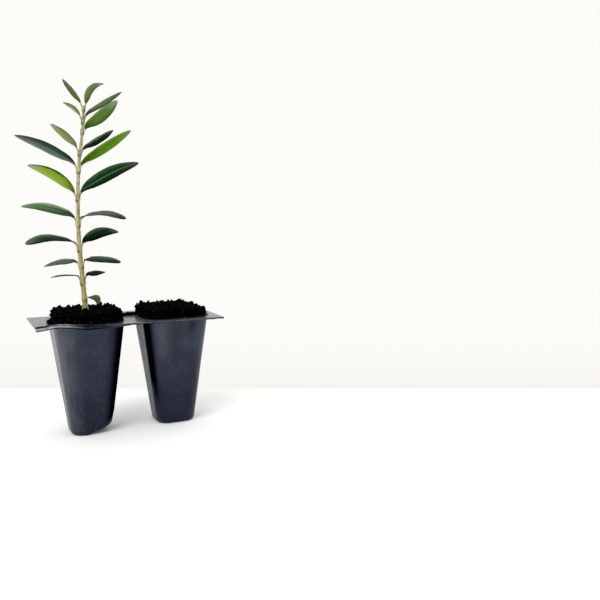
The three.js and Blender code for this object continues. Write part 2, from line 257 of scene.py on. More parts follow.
class Num:
    """A number that flows through a material, with Python's operators as its Math nodes."""

    def __init__(self, shade: "Shade", socket: Socket) -> None:
        """Wraps a socket of a material's tree."""
        self.shade = shade
        self.socket = socket

    def math(self, operation: str, *values: "Num | float", flip: bool = False) -> "Num":
        """Adds a Math node.

        Args:
            operation: Its operation.
            values: What follows this number in it.
            flip: True where this number comes second.

        Returns:
            The node's value.
        """
        terms = [self, *values]
        if flip:
            terms.reverse()
        return self.shade.num("ShaderNodeMath", {"operation": operation}, dict(enumerate(terms)))

    def __add__(self, other: "Num | float") -> "Num":
        """Adds."""
        return self.math("ADD", other)

    __radd__ = __add__

    def __sub__(self, other: "Num | float") -> "Num":
        """Subtracts."""
        return self.math("SUBTRACT", other)

    def __rsub__(self, other: "Num | float") -> "Num":
        """Subtracts from a plain number."""
        return self.math("SUBTRACT", other, flip=True)

    def __mul__(self, other: "Num | float") -> "Num":
        """Multiplies."""
        return self.math("MULTIPLY", other)

    __rmul__ = __mul__

    def __truediv__(self, other: "Num | float") -> "Num":
        """Divides."""
        return self.math("DIVIDE", other)

    def __pow__(self, other: "Num | float") -> "Num":
        """Raises to a power."""
        return self.math("POWER", other)

    def __abs__(self) -> "Num":
        """Drops the sign."""
        return self.math("ABSOLUTE")

    def step(self, low: float, high: float) -> "Num":
        """Gives 0 at low, 1 at high, and a smooth step between them."""
        return self.shade.num("ShaderNodeMapRange", {"interpolation_type": "SMOOTHSTEP"},
                              {"Value": self, "From Min": low, "From Max": high})


class Shade:
    """The node tree of one finish, or of the room's light."""

    def __init__(self, name: str, kind: str = "materials") -> None:
        """Starts an empty material of that name, or a world."""
        self.owner = getattr(bpy.data, kind).new(name)
        self.owner.use_nodes = True
        self.tree = self.owner.node_tree
        self.tree.nodes.clear()

    def node(self, kind: str, settings: dict | None = None, inputs: dict | None = None) -> bpy.types.Node:
        """Makes one node.

        Args:
            kind: The node's type.
            settings: Its own settings by name, set first.
            inputs: A value, a link or a Num for each of its sockets, by name or index.

        Returns:
            The node.
        """
        made = self.tree.nodes.new(kind)
        for key, value in (settings or {}).items():
            setattr(made, key, value)
        for key, value in (inputs or {}).items():
            source = value.socket if isinstance(value, Num) else value
            if isinstance(source, Socket):
                self.tree.links.new(source, made.inputs[key])
            else:
                made.inputs[key].default_value = source
        return made

    def num(self, kind: str, settings: dict | None, inputs: dict, output: int | str = 0) -> Num:
        """Makes one node in the same way, and gives one of its outputs as a number."""
        return Num(self, self.node(kind, settings, inputs).outputs[output])

    def place(self, kind: str = "Object") -> Socket:
        """Coordinates of a kind, in metres."""
        return self.node("ShaderNodeTexCoord").outputs[kind]

    def chart(self) -> Socket:
        """The piece's own UV map: round the form, and along it."""
        return self.node("ShaderNodeUVMap", {"uv_map": "skin"}).outputs[0]

    def parts(self, source: Socket) -> list[Num]:
        """Splits a vector into its three numbers."""
        return [Num(self, part) for part in self.node("ShaderNodeSeparateXYZ", None, {0: source}).outputs]

    def stretch(self, source: Socket, scale: tuple[float, float, float]) -> Socket:
        """Multiplies coordinates by a scale, so that a pattern repeats more often."""
        return self.node("ShaderNodeMapping", None, {"Vector": source, "Scale": scale}).outputs[0]

    def where(self, across: float, along: float) -> Socket:
        """Object coordinates with so many repeats to a millimetre across and along the height."""
        return self.stretch(self.place(), (across / MM, across / MM, along / MM))

    def height(self) -> Num:
        """The height above the ground in millimetres."""
        return self.parts(self.place())[2] / MM

    def painted(self, name: str) -> Num:
        """A value painted on the mesh."""
        return self.num("ShaderNodeAttribute", {"attribute_name": name}, {}, "Fac")

    def noise(self, across: float, along: float, detail: float = 3.0, rough: float = 0.55) -> Num:
        """Soft noise from 0 to 1 with so many repeats to a millimetre across and along the height."""
        return self.num("ShaderNodeTexNoise", None, {"Vector": self.where(across, along), "Scale": 1.0,
                                                     "Detail": detail, "Roughness": rough})

    def grain(self, across: float, along: float) -> Num:
        """Soft noise on the piece's own UV map, with so many repeats round the form and along it."""
        drawn = self.stretch(self.chart(), (across, along, 1.0))
        return self.num("ShaderNodeTexNoise", None, {"Vector": drawn, "Scale": 1.0})

    def cells(self, across: float, along: float) -> tuple[Num, Num]:
        """Scattered points: the distance to the nearest, and a chance value of its own."""
        made = self.node("ShaderNodeTexVoronoi", None, {"Vector": self.where(across, along), "Scale": 1.0})
        chance = self.node("ShaderNodeSeparateColor", None, {0: made.outputs["Color"]})
        return Num(self, made.outputs["Distance"]), Num(self, chance.outputs[0])

    def mix(self, share: Num, low: Colour | Socket, high: Colour | Socket) -> Socket:
        """Mixes two colours.

        Args:
            share: 0 for low and 1 for high.
            low: A colour or a link.
            high: A colour or a link.

        Returns:
            The mixed colour's socket.
        """
        made = self.node("ShaderNodeMix", {"data_type": "RGBA"}, {0: share, 6: low, 7: high})
        return made.outputs[2]

    def coats(self, colour: Colour, *layers: tuple[Num, Colour]) -> Socket:
        """Lays colours over one another.

        Args:
            colour: The colour underneath.
            layers: For each coat from below, the share of it that shows and its colour.

        Returns:
            The colour that all of them give.
        """
        for share, over in layers:
            colour = self.mix(share, colour, over)
        return colour

    def bump(self, depth: float, height: Num) -> Socket:
        """Turns a height from 0 to 1 into a normal, for relief of that depth in millimetres."""
        made = self.node("ShaderNodeBump", None, {"Strength": 1.0, "Distance": depth * MM, "Height": height})
        return made.outputs[0]

    def surface(self, colour: Socket | Colour, rough: Num | float, normal: Socket,
                fixed: dict[str, float | Colour | Socket]) -> Socket:
        """Makes a shader.

        Args:
            colour: The base colour.
            rough: The roughness.
            normal: The normal.
            fixed: The shader's other sockets, all but an emission the same all over.

        Returns:
            The shader's socket.
        """
        inputs = {"Base Color": colour, "Roughness": rough, "Normal": normal, **fixed}
        return self.node("ShaderNodeBsdfPrincipled", None, inputs).outputs[0]

    def close(self, surface: Socket) -> Material:
        """Ends the tree in its shader, and gives the finished material."""
        self.node("ShaderNodeOutputMaterial", None, {"Surface": surface})
        return self.owner


@dataclass(frozen=True)
class TrayPlastic:
    """Thin black vacuum-formed sheet: glossy, faintly streaked where it was drawn, with pale splashes low.

    The pale coat painted on it is mostly painted highlight, and the dull black painted on it is painted
    shade.
    """

    base: Colour = (0.0014, 0.0018, 0.006, 1.0)
    drawn: Colour = (0.006, 0.007, 0.014, 1.0)
    # Painted shade: a dull black for the cells' dark reflections of each other and the lines under the cut
    # edge.
    painted_shade: Colour = (0.003, 0.0055, 0.016, 1.0)
    black: Colour = (0.0004, 0.0008, 0.002, 1.0)
    pale_cloud: Colour = tone(42, 45, 56)
    splash: Colour = tone(128, 132, 146)
    tint: Colour = (0.62, 0.74, 1.0, 1.0)
    # The painted highlight's colour.
    painted_highlight: Colour = tone(158, 161, 168)
    splash_size: float = 0.3
    splash_gap: float = 1.25
    splash_top: float = 100.0
    pale_cloud_share: float = 0.5
    rough: float = 0.2
    mouth_gloss: float = 0.12
    highlight_rough: float = 0.4
    dull_rough: float = 0.9
    foot_dull: float = 0.34
    relief: float = 0.09

    def dress(self) -> Material:
        """Makes the material."""
        shade = Shade("tray_plastic")
        streak = shade.noise(0.5, 0.03, 4.0)
        cloud = shade.noise(0.07, 0.05, 3.0)
        drawn = (streak * 0.5 + cloud * 0.5).step(0.4, 0.7)
        # Paler clouds, stronger higher up the walls.
        pale_cloud = cloud.step(0.35, 0.7) * shade.height().step(8.0, 60.0)
        distance, chance = shade.cells(1 / self.splash_gap, 0.8 / self.splash_gap)
        low_down = 1 - shade.height().step(0.0, self.splash_top)
        present = (chance * 0.7 + low_down * 0.4 + cloud * 0.3).step(0.79, 0.88)
        spot = present * (1 - (distance * self.splash_gap).step(self.splash_size * 0.4, self.splash_size))
        # Painted highlight, with a few scuffs, lightens the sheet where the mesh is painted pale.
        highlight_mask = shade.painted("wear_and_painted_light")
        scuffs_and_highlights = highlight_mask * (0.5 + 0.5 * shade.noise(0.25, 0.06, 3.0).step(0.3, 0.7))
        colour = shade.coats(
            self.base, (drawn, self.drawn), (pale_cloud * self.pale_cloud_share, self.pale_cloud),
            (spot * shade.noise(1.7, 1.7, 2.0).step(0.3, 0.75), self.splash), (scuffs_and_highlights, self.painted_highlight))
        rough = self.rough - self.mouth_gloss * shade.height().step(80.0, 84.5)
        rough += 0.1 * shade.noise(0.3, 0.08, 4.0) + 0.2 * spot + self.highlight_rough * highlight_mask
        normal = shade.bump(self.relief, streak * 0.35 + shade.noise(1.3, 0.9, 2.0) * 0.1 + spot * 0.3)
        gloss = shade.surface(colour, rough, normal, {"IOR": 1.5, "Specular Tint": self.tint})
        # Painted shade: where the mesh is painted dark, a dull black shader without reflection takes over.
        painted_shade_mask = shade.painted("young")
        painted_shade = shade.mix(painted_shade_mask, self.painted_shade, self.black)
        painted_shade_surface = shade.surface(painted_shade, self.dull_rough, normal, {"Specular IOR Level": 0.0})
        # The dull black also takes over more towards the foot, so the walls grow darker lower down.
        painted_shade_mask = painted_shade_mask + (1 - painted_shade_mask) * self.foot_dull * (1 - shade.height().step(16.0, 74.0))
        return shade.close(shade.node("ShaderNodeMixShader", None, {0: painted_shade_mask, 1: gloss, 2: painted_shade_surface}).outputs[0])


@dataclass(frozen=True)
class CrumblyCompost:
    """Damp peat compost, all but black, with a few pale specks that are painted glints."""

    base: Colour = (0.0003, 0.0003, 0.0006, 1.0)
    brown: Colour = (0.0016, 0.0014, 0.0014, 1.0)
    pale: Colour = tone(96, 94, 90)
    glint_share: float = 0.3
    gloss: float = 0.015
    relief: float = 0.45

    def dress(self) -> Material:
        """Makes the material."""
        shade = Shade("crumbly_compost")
        _, chance = shade.cells(1.1, 1.1)
        # Rare pale specks are painted glints.
        colour = shade.coats(self.base, (shade.noise(0.5, 0.5, 3.0).step(0.45, 0.75), self.brown),
                             (chance.step(0.988, 0.992) * self.glint_share, self.pale))
        rough = 0.5 + 0.4 * shade.noise(1.2, 1.2, 2.0)
        normal = shade.bump(self.relief, shade.noise(2.6, 2.6, 5.0, 0.7))
        return shade.close(shade.surface(colour, rough, normal, {"Specular IOR Level": self.gloss}))


@dataclass(frozen=True)
class YoungBark:
    """Smooth first-year bark: cream and pinkish above, yellow-green below, with brown scars and flecks."""

    cream: Colour = tone(192, 186, 152)
    yellow: Colour = tone(186, 178, 118)
    pink: Colour = tone(140, 114, 104)
    brown: Colour = tone(92, 70, 56)
    scar: Colour = tone(48, 32, 24)
    green: Colour = tone(156, 152, 78)
    yellow_below: float = 128.0
    cream_above: float = 185.0
    pink_from: tuple[float, float] = (100.0, 150.0)
    rough: float = 0.62
    gloss: float = 0.2
    relief: float = 0.16

    def dress(self) -> Material:
        """Makes the material."""
        shade = Shade("young_bark")
        height = shade.height()
        streak = shade.noise(1.6, 0.16, 4.0)
        blush = shade.noise(0.6, 0.1, 3.0).step(0.5, 0.66) * height.step(*self.pink_from)
        distance, chance = shade.cells(0.9, 0.5)
        fleck = chance.step(0.7, 0.75) * (1 - distance.step(0.12, 0.3))
        # The painted brown layer last in the list covers the scars and, as painted shade, the side of the
        # stem away from the light.
        colour = shade.coats(
            self.yellow, (height.step(self.yellow_below, self.cream_above), self.cream),
            (blush * 0.6, self.pink), (streak.step(0.48, 0.7) * 0.75, self.brown), (fleck * 0.45, self.brown),
            (shade.painted("young") * 0.75, self.green), (shade.painted("wear_and_painted_light"), self.scar))
        normal = shade.bump(self.relief, streak * 0.6 + fleck * 0.5 + shade.noise(3.0, 1.5, 2.0) * 0.2)
        return shade.close(shade.surface(colour, self.rough + 0.2 * streak, normal,
                                         {"Specular IOR Level": self.gloss}))


STALK = tone(172, 170, 108)
HEEL = tone(92, 70, 40)
SILVER_VEIL = tone(126, 136, 112)
GREEN_VEIL = tone(30, 56, 20)


@dataclass(frozen=True)
class Face:
    """The colours of one face of a leaf: from heel to tip, at its two margins, and on its midrib.

    High is the margin that the leaf's roll raises, and low the other; their colours are painted sheen and
    painted shade, as each half faces the light or turns from it.
    """

    heel: Colour
    blade: Colour
    tip: Colour
    high: Colour
    low: Colour
    rib: Colour
    high_share: float = 0.6
    low_share: float = 0.6
    rib_share: float = 0.35
    high_from: float = 0.3
    heel_to: float = 0.36
    vein_count: float = 26.0
    vein_share: float = 0.06
    heel_share: float = 0.92
    rough: float = 0.4
    gloss: float = 0.035
    relief: float = 0.035

    def veiled(self, veil: Colour, share: float) -> "Face":
        """The same face with every colour drawn towards another.

        Args:
            veil: The other colour.
            share: How far.

        Returns:
            The new face.
        """
        names = ("heel", "blade", "tip", "high", "low", "rib")
        return replace(self, **{name: blend(getattr(self, name), veil, share) for name in names})

    def dress(self, name: str) -> Material:
        """Makes the face's material of that name."""
        shade = Shade(name)
        round_form, along, _ = shade.parts(shade.chart())
        signed = (round_form * TURN).math("COSINE")
        mottle = shade.grain(5.0, 4.0) * 0.5 + shade.noise(0.3, 0.3, 3.0) * 0.5
        brush = shade.grain(13.0, 3.0)
        awake = along.step(0.08, 0.3)
        tip = (along + (mottle - 0.5) * 0.3).step(0.66, 1.02)
        heel = 1 - (along + (brush - 0.5) * 0.12).step(0.08, self.heel_to)
        high = (signed + (brush - 0.5) * 0.4 + (mottle - 0.5) * 0.5).step(self.high_from, 0.95)
        low = ((mottle - 0.5) * 0.6 - signed).step(0.15, 0.95)
        slanted = (along * self.vein_count - abs(signed) * 2.2) * TURN
        veins = slanted.math("SINE").step(0.4, 1.0) * abs(signed).step(0.1, 0.3)
        line = (1 - abs(signed + 0.1).step(0.03, 0.24)) * (1 - along.step(0.65, 0.97)) * brush.step(0.2, 0.6)
        # The high and low coats are painted light and shade on the blade's two halves.
        colour = shade.coats(
            self.blade, (tip, self.tip), (heel * self.heel_share, self.heel),
            (high * awake * self.high_share, self.high), (low * self.low_share, self.low),
            (veins * self.vein_share * awake, self.rib), (line * self.rib_share, self.rib),
            (shade.painted("young"), STALK), (shade.painted("wear_and_painted_light"), HEEL))
        normal = shade.bump(self.relief, 0.3 * brush + 0.25 * veins)
        return shade.close(shade.surface(colour, self.rough + 0.14 * mottle, normal,
                                         {"Specular IOR Level": self.gloss}))


@dataclass(frozen=True)
class LeafSkin:
    """A leaf's slot and its two faces."""

    name: str
    slot: Slot
    upper: Face
    under: Face

    def dress(self) -> list[Material]:
        """Makes the upper and the under material, or finds them."""
        faces = ((f"{self.name}_upper", self.upper), (f"{self.name}_under", self.under))
        return [bpy.data.materials.get(name) or face.dress(name) for name, face in faces]


def lit(name: str, *tones: Screen, **shares: float) -> LeafSkin:
    """A dark leaf's skin, known by its upper face. The under face is the same, veiled in silver.

    Args:
        name: The skin's name.
        tones: The upper face's six colours, from 0 to 255, in the order that Face holds them.
        shares: Its other values, where they aren't the usual ones.

    Returns:
        The skin.
    """
    face = Face(*(tone(*screen) for screen in tones), **shares)
    return LeafSkin(f"leaf_{name}", Slot.LEAF_DARK, face, replace(face.veiled(SILVER_VEIL, 0.45), rough=0.6))


def backed(name: str, slot: Slot, *tones: Screen, **shares: float) -> LeafSkin:
    """A pale leaf's skin, known by its under face. The upper face is the same, deeper in colour and glossier.

    Args:
        name: The skin's name.
        slot: Its slot.
        tones: The under face's six colours, as in lit.
        shares: Its other values, as in lit.

    Returns:
        The skin.
    """
    face = Face(*(tone(*screen) for screen in tones), **shares)
    upper = replace(face.veiled(GREEN_VEIL, 0.4), rough=0.38, gloss=0.08)
    return LeafSkin(f"leaf_{name}", slot, upper, face)


class Form:
    """One piece in the making: a bmesh in millimetres with a UV map and two painted values."""

    large_crumb: float = 0.75
    crumb_relief: float = 0.4

    def __init__(self) -> None:
        """Starts with nothing in it."""
        self.bm = bmesh.new()
        self.uv = self.bm.loops.layers.uv.new("skin")
        self.wear_and_painted_light = self.bm.verts.layers.float.new("wear_and_painted_light")
        self.young = self.bm.verts.layers.float.new("young")

    def bend(self, columns: int, rows: int, place: Place, mark: Mark | None = None) -> None:
        """Bends a flat grid into a tube or a closed skin, and joins its seam and poles.

        Args:
            columns: Faces round it.
            rows: Faces along it.
            place: Gives each corner its place, from shares round and along.
            mark: Gives each corner its two painted values, from the same shares.
        """
        made = bmesh.ops.create_grid(self.bm, x_segments=columns, y_segments=rows, size=0.5,
                                     calc_uvs=True)["verts"]
        for vert in made:
            u, v = vert.co.x + 0.5, vert.co.y + 0.5
            vert.co = place(u, v)
            if mark:
                vert[self.wear_and_painted_light], vert[self.young] = mark(u, v)
        bmesh.ops.remove_doubles(self.bm, verts=made, dist=1e-4)

    def crumb(self, centre: Vector, size: float, chance: random.Random) -> None:
        """Adds one crumb, a small rough ball pulled out of shape.

        Args:
            centre: Its middle.
            size: Its radius.
            chance: The seeded source of its shape.
        """
        rounds = 2 if size > self.large_crumb else 1
        turn = Quaternion([chance.gauss(0, 1) for _ in range(4)]).normalized().to_matrix().to_4x4()
        stretch = Matrix.Diagonal([chance.uniform(0.7, 1.3) for _ in range(3)] + [1.0])
        made = bmesh.ops.create_icosphere(self.bm, subdivisions=rounds, radius=size,
                                          matrix=Matrix.Translation(centre) @ turn @ stretch)["verts"]
        for vert in made:
            out = vert.co - centre
            vert.co += out * self.crumb_relief * noise.noise(vert.co * (0.9 / size))

    def close(self) -> "Form":
        """Points every closed skin's faces outwards."""
        bmesh.ops.recalc_face_normals(self.bm, faces=self.bm.faces[:])
        return self

    def piece(self, name: str, slot: Slot, finishes: Sequence[Material], stands_for: Iterable[str],
              crease: float = 50.0, modifiers: Callable[[bpy.types.Object], None] | None = None) -> None:
        """Scales the mesh to metres and makes the piece that rides on the part's one body.

        Args:
            name: The piece's name.
            slot: The record's slot; not used.
            finishes: Its materials, in the order of its faces' indices.
            stands_for: The CAD nodes that it replaces.
            crease: Edges sharper than this many degrees stay sharp.
            modifiers: Adds modifiers to the object, which are then applied.
        """
        bmesh.ops.scale(self.bm, vec=Vector((MM, MM, MM)), verts=self.bm.verts[:])
        mesh = bpy.data.meshes.new(name)
        self.bm.to_mesh(mesh)
        self.bm.free()
        made = stand(name, mesh)
        if modifiers:
            modifiers(made)
            evaluated = made.evaluated_get(bpy.context.evaluated_depsgraph_get())
            made.data = bpy.data.meshes.new_from_object(evaluated)
            made.modifiers.clear()
        for finish in finishes:
            made.data.materials.append(finish)
        made.data.shade_smooth()
        made.data.set_sharp_from_angle(angle=math.radians(crease))
        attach(made, "root")
        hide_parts(*stands_for)
        log.info("%s: %d faces", name, len(made.data.polygons))


@dataclass(frozen=True)
class WallPaint:
    """Where a cell's wall gets a painted highlight or a dull black painted shade, in degrees round it and
    shares of its height.
    """

    # The first two fields place a painted highlight where the wall reflects the bright room, and the next two
    # a dull black painted shade where it reflects the neighbouring cell.
    wear_and_painted_light: float
    highlight_mask: Band
    painted_shade_mask: Band
    thin_from: tuple[float, float]
    scuffs_and_highlights: float = 0.0
    scuffed: Band = Band(226.0, 234.0, 236.0, 262.0)
    scuffed_from: tuple[float, float] = (0.5, 0.8)
    nick: Swell = Swell(0.0, 292.0, 5.0)
    nick_from: tuple[float, float] = (0.84, 0.92)

    def at(self, angle: float, height: float) -> tuple[float, float]:
        """Gives the painted highlight and the painted shade, with scuffs and nicks, on the wall at an angle
        and a height.
        """
        scuffed = self.scuffs_and_highlights * self.scuffed.at(angle) * ease(*self.scuffed_from, height)
        nicked = self.nick.at(angle) * ease(*self.nick_from, height)
        painted_shade_mask = self.painted_shade_mask.at(angle) * ease(*self.thin_from, height)
        return self.wear_and_painted_light * self.highlight_mask.at(angle) + scuffed, max(painted_shade_mask, nicked)


@dataclass
class CellTray:
    """The strip of two cells, one thin sheet from the flange down the walls to the drained undersides."""

    pitch: float = 65.2
    height: float = 85.0
    sheet: float = 0.85
    mouth_side: float = 51.2
    foot_side: float = 30.0
    mouth_corner: float = 13.0
    foot_corner: float = 9.5
    mouth_round: float = 0.2
    foot_round: float = 2.4
    left_end: float = -38.6
    right_end: float = 97.4
    front_left: float = -28.0
    front_right: float = -34.0
    fold_y: float = -25.95
    back: float = 30.5
    back_corner: float = 9.0
    curl_corner: float = 2.0
    curl_height: float = 2.9
    curl_peak: float = -29.0
    curl_end: float = 18.0
    buckled: Swell = Swell(0.65, -21.0, 8.0)
    rim_left: float = 3.3
    rim_right: float = 1.3
    rim_from: float = -2.0
    rim_to: float = 30.0
    sag: Swell = Swell(0.7, -1.0, 11.0)
    corner_sag: float = 0.4
    lip_out: float = 1.3
    lip_end: float = 3.0
    groove: float = 0.5
    dent_start: float = -3.5
    dent_height: float = 5.9
    dent_fade: float = 16.0
    dent_bend: float = 1.0
    drain_radius: float = 1.7
    drain_offset: float = 6.5
    columns: int = 128
    wall_rows: int = 44
    front_pieces: int = 96
    buckle: float = 0.16
    # Painted highlight and painted shade on the two cells' walls.
    planted_paint: WallPaint = WallPaint(
        0.2, Band(204.0, 216.0, 217.0, 258.0), Band(291.0, 311.0, 345.0, 353.0), (0.02, 0.1))
    spare_paint: WallPaint = WallPaint(
        0.95, Band(140.0, 160.0, 182.0, 203.0), Band(194.0, 207.0, 219.0, 231.0), (0.14, 0.45),
        scuffs_and_highlights=0.09, nick=Swell(0.5, 292.0, 5.0))
    # Painted reflection on the flange's flat top, at its left end and its right.
    flange_sheen: tuple[float, float] = (0.36, 0.12)
    # The cut edge gets a painted highlight round this bell and painted shade elsewhere, which fades out to
    # the right over the next pair.
    edge_highlight: Swell = Swell(1.0, -20.0, 9.0)
    edge_shade: tuple[float, float] = (-6.0, 30.0)
    edge_ragged: float = 0.22
    # The painted highlight on the lip's slope fades out over the first pair, and painted shade on the rim
    # over the second; the bell after them is painted shade on the rim between the cells.
    lip_highlight: tuple[float, float] = (-22.0, -4.0)
    lip_shade: tuple[float, float] = (8.0, 20.0)
    bridge_shade: Swell = Swell(0.9, 33.0, 12.0)
    # The painted highlight on the walls fades in over this share of their height above the foot.
    highlight_above_foot: tuple[float, float] = (0.0, 0.06)
    ring: tuple[float, float] = (0.97, 0.985)
    curl_steps: int = 4
    corner_steps: int = 8
    rim_in: float = 1.7
    rim_top: float = 0.4
    rim_rows: int = 150
    plastic: TrayPlastic = field(default_factory=TrayPlastic)

    @cached_property
    def material(self) -> Material:
        """The sheet's one material."""
        return self.plastic.dress()

    def side(self, z: float) -> float:
        """A cell's outer side at a height."""
        return self.foot_side + (self.mouth_side - self.foot_side) * z / self.height

    def corner(self, z: float) -> float:
        """A cell's corner radius at a height."""
        return self.foot_corner + (self.mouth_corner - self.foot_corner) * z / self.height

    def dent(self, x: float, z: float) -> float:
        """How far the planted cell's foot is pushed up there."""
        share = max(0.0, (x - self.dent_start) / (self.foot_side / 2 - self.dent_start))
        return self.dent_height * share ** self.dent_bend * max(0.0, 1 - z / self.dent_fade)

    def along(self, share: float) -> float:
        """The x at a share of the strip's length."""
        return self.left_end + (self.right_end - self.left_end) * share

    def share(self, x: float) -> float:
        """The share of the strip's length that lies left of x."""
        return (x - self.left_end) / (self.right_end - self.left_end)

    def front(self, x: float) -> float:
        """The cut front edge's y at x."""
        return self.front_left + (self.front_right - self.front_left) * self.share(x)

    def curl(self, x: float) -> float:
        """How high the cut edge curls up at x."""
        if x > self.curl_peak:
            even = self.curl_height * max(0.0, 1 - (x - self.curl_peak) / (self.curl_end - self.curl_peak))
            return even + self.buckled.at(x)
        share = (x - self.left_end) / (self.curl_peak - self.left_end)
        return self.curl_corner + (self.curl_height - self.curl_corner) * share

    def rim_depth(self, x: float) -> float:
        """How far the turned-down rim hangs below the cut edge at x."""
        share = min(1.0, max(0.0, (x - self.rim_from) / (self.rim_to - self.rim_from)))
        sagged = self.sag.at(x) + self.corner_sag * (1 - ease(self.left_end, -24.0, x))
        return self.rim_left + (self.rim_right - self.rim_left) * share + sagged

    def flange_sheen_share(self, x: float) -> float:
        """How much painted reflection the flat top gets at x, less towards the right."""
        left, right = self.flange_sheen
        return left + (right - left) * self.share(x)

    @cached_property
    def profile(self) -> list[tuple[float, float]]:
        """The sheet's way from the flange to the underside: how far out of the wall, and how high."""
        top = self.height - self.sheet
        turns = [step / 6 * math.pi / 2 for step in range(7)]
        mouth, foot = self.mouth_round, self.foot_round
        mouth = [(mouth * (1 - math.sin(turn)), top - mouth * (1 - math.cos(turn))) for turn in turns]
        foot = [(-foot * (1 - math.cos(turn)), foot * (1 - math.sin(turn))) for turn in turns]
        low, high = foot[0][1], mouth[-1][1]
        wall = [(0.0, high + (low - high) * row / self.wall_rows) for row in range(1, self.wall_rows)]
        return mouth + wall + foot

    def cell(self, form: Form, x: float) -> None:
        """Bends one cell's wall and fills its underside round the drain holes.

        Args:
            form: The sheet so far.
            x: The cell's middle.
        """
        rows = len(self.profile) - 1
        paint = self.spare_paint if x else self.planted_paint

        def place(u: float, v: float) -> Vector:
            """Puts a corner of the wall in its place."""
            out, z = self.profile[round(v * rows)]
            angle = TURN * u
            wave = noise.noise(around(2.2, angle, z / 30, x))
            out += self.buckle * wave * math.sin(math.pi * z / self.height) ** 0.5
            return around(square_reach(self.side(z) + 2 * out, self.corner(z) + out, angle), angle, z, x)

        def mark(u: float, v: float) -> tuple[float, float]:
            """Paints the wall's painted highlight and painted shade; at the mouth it takes on the flange's
            painted reflection.
            """
            height = self.profile[round(v * rows)][1] / self.height
            highlight_mask, painted_shade_mask = paint.at(math.degrees(TURN * u), height)
            ring = ease(*self.ring, height)
            highlight_mask = highlight_mask * ease(*self.highlight_above_foot, height) * (1 - ring) + self.flange_sheen_share(place(u, v).x) * ring
            return highlight_mask, painted_shade_mask * (1 - ring)

        form.bend(self.columns, rows, place, mark)
        for dx in (-self.drain_offset, self.drain_offset):
            for dy in (-self.drain_offset, self.drain_offset):
                bmesh.ops.create_circle(form.bm, segments=24, radius=self.drain_radius,
                                        matrix=Matrix.Translation((x + dx, dy, 0)))
        rim = [edge for edge in form.bm.edges if len(edge.link_faces) < 2
               and all(abs(v.co.z) < 1e-3 and abs(v.co.x - x) < self.foot_side for v in edge.verts)]
        bmesh.ops.triangle_fill(form.bm, use_beauty=True, edges=rim, normal=Vector((0, 0, -1)))

    def flange(self, form: Form) -> None:
        """Fills the flat top round the two mouths and curls its front edge up to the cut.

        Args:
            form: The sheet, which has both cells.
        """
        top = self.height - self.sheet
        pieces = self.front_pieces
        outline = [Vector((self.along(piece / pieces), self.fold_y, top)) for piece in range(pieces + 1)]
        centre = Vector((self.right_end - self.back_corner, self.back - self.back_corner, top))
        for step in range(self.corner_steps + 1):
            angle = step / self.corner_steps * math.pi / 2
            outline.append(centre + around(1.0, angle, 0.0) * self.back_corner)
        outline.append(Vector((self.left_end, self.back, top)))
        verts = [form.bm.verts.new(point) for point in outline]
        # Painted reflection on the flat top.
        for vert in verts:
            vert[form.wear_and_painted_light] = self.flange_sheen_share(vert.co.x)
        edges = [form.bm.edges.new((a, b)) for a, b in zip(verts, verts[1:] + verts[:1])]
        mouths = [edge for edge in form.bm.edges
                  if edge.is_boundary and all(abs(v.co.z - top) < 1e-3 for v in edge.verts)]
        bmesh.ops.triangle_fill(form.bm, use_beauty=True, edges=edges + mouths, normal=Vector((0, 0, -1)))
        row = edges[:pieces]
        for step in range(1, self.curl_steps + 1):
            share = step / self.curl_steps
            made = bmesh.ops.extrude_edge_only(form.bm, edges=row)["geom"]
            row = [part for part in made if isinstance(part, bmesh.types.BMEdge) and len(part.link_faces) == 1
                   and all(vert in made for vert in part.verts)]
            row = [edge for edge in row if abs(edge.verts[0].co.x - edge.verts[1].co.x) > 1e-6]
            for vert in (part for part in made if isinstance(part, bmesh.types.BMVert)):
                x = vert.co.x
                ragged = self.edge_ragged * share * noise.noise(Vector((x / 6, 3.0, 0.0)))
                vert.co.y = self.fold_y + (self.front(x) - self.fold_y) * share + ragged
                vert.co.z = top + self.curl(x) * share ** 1.2 + 0.6 * ragged
                # The curl gets a faint painted reflection all along, a painted highlight on the cut edge near
                # the left, and painted shade on the cut face elsewhere.
                bright = self.edge_highlight.at(x)
                vert[form.young] = 0.85 * share ** 6 * (1 - ease(*self.edge_shade, x)) * (1 - bright)
                vert[form.wear_and_painted_light] = 0.16 + 0.6 * share ** 6 * bright

    def shell(self) -> None:
        """Builds the sheet and gives it its thickness."""
        form = Form()
        for x in (0.0, self.pitch):
            self.cell(form, x)
        self.flange(form)
        for vert in form.bm.verts:
            if abs(vert.co.x) < self.pitch / 2:
                vert.co.z += self.dent(vert.co.x, vert.co.z)
        bmesh.ops.remove_doubles(form.bm, verts=form.bm.verts[:], dist=1e-4)
        form.close()
        level = max(form.bm.faces, key=lambda face: face.calc_area())
        if level.normal.z > 0:
            bmesh.ops.reverse_faces(form.bm, faces=form.bm.faces[:])

        def thicken(made: bpy.types.Object) -> None:
            """Thickens the sheet inwards and breaks its edges."""
            solidify = made.modifiers.new("sheet", "SOLIDIFY")
            solidify.thickness = self.sheet * MM
            solidify.offset = -1
            solidify.use_even_offset = True
            bevel = made.modifiers.new("edges", "BEVEL")
            bevel.width = 0.16 * MM
            bevel.segments = 2
            bevel.limit_method = "ANGLE"
            bevel.angle_limit = math.radians(55)

        form.piece("tray_sheet", Slot.TRAY, [self.material], ["tray"], 35.0, thicken)

    def rim(self) -> None:
        """Bends the turned-down rim under the cut edge, with the lip that the cut left along its foot."""
        form = Form()
        top, back = self.rim_top, -self.rim_in

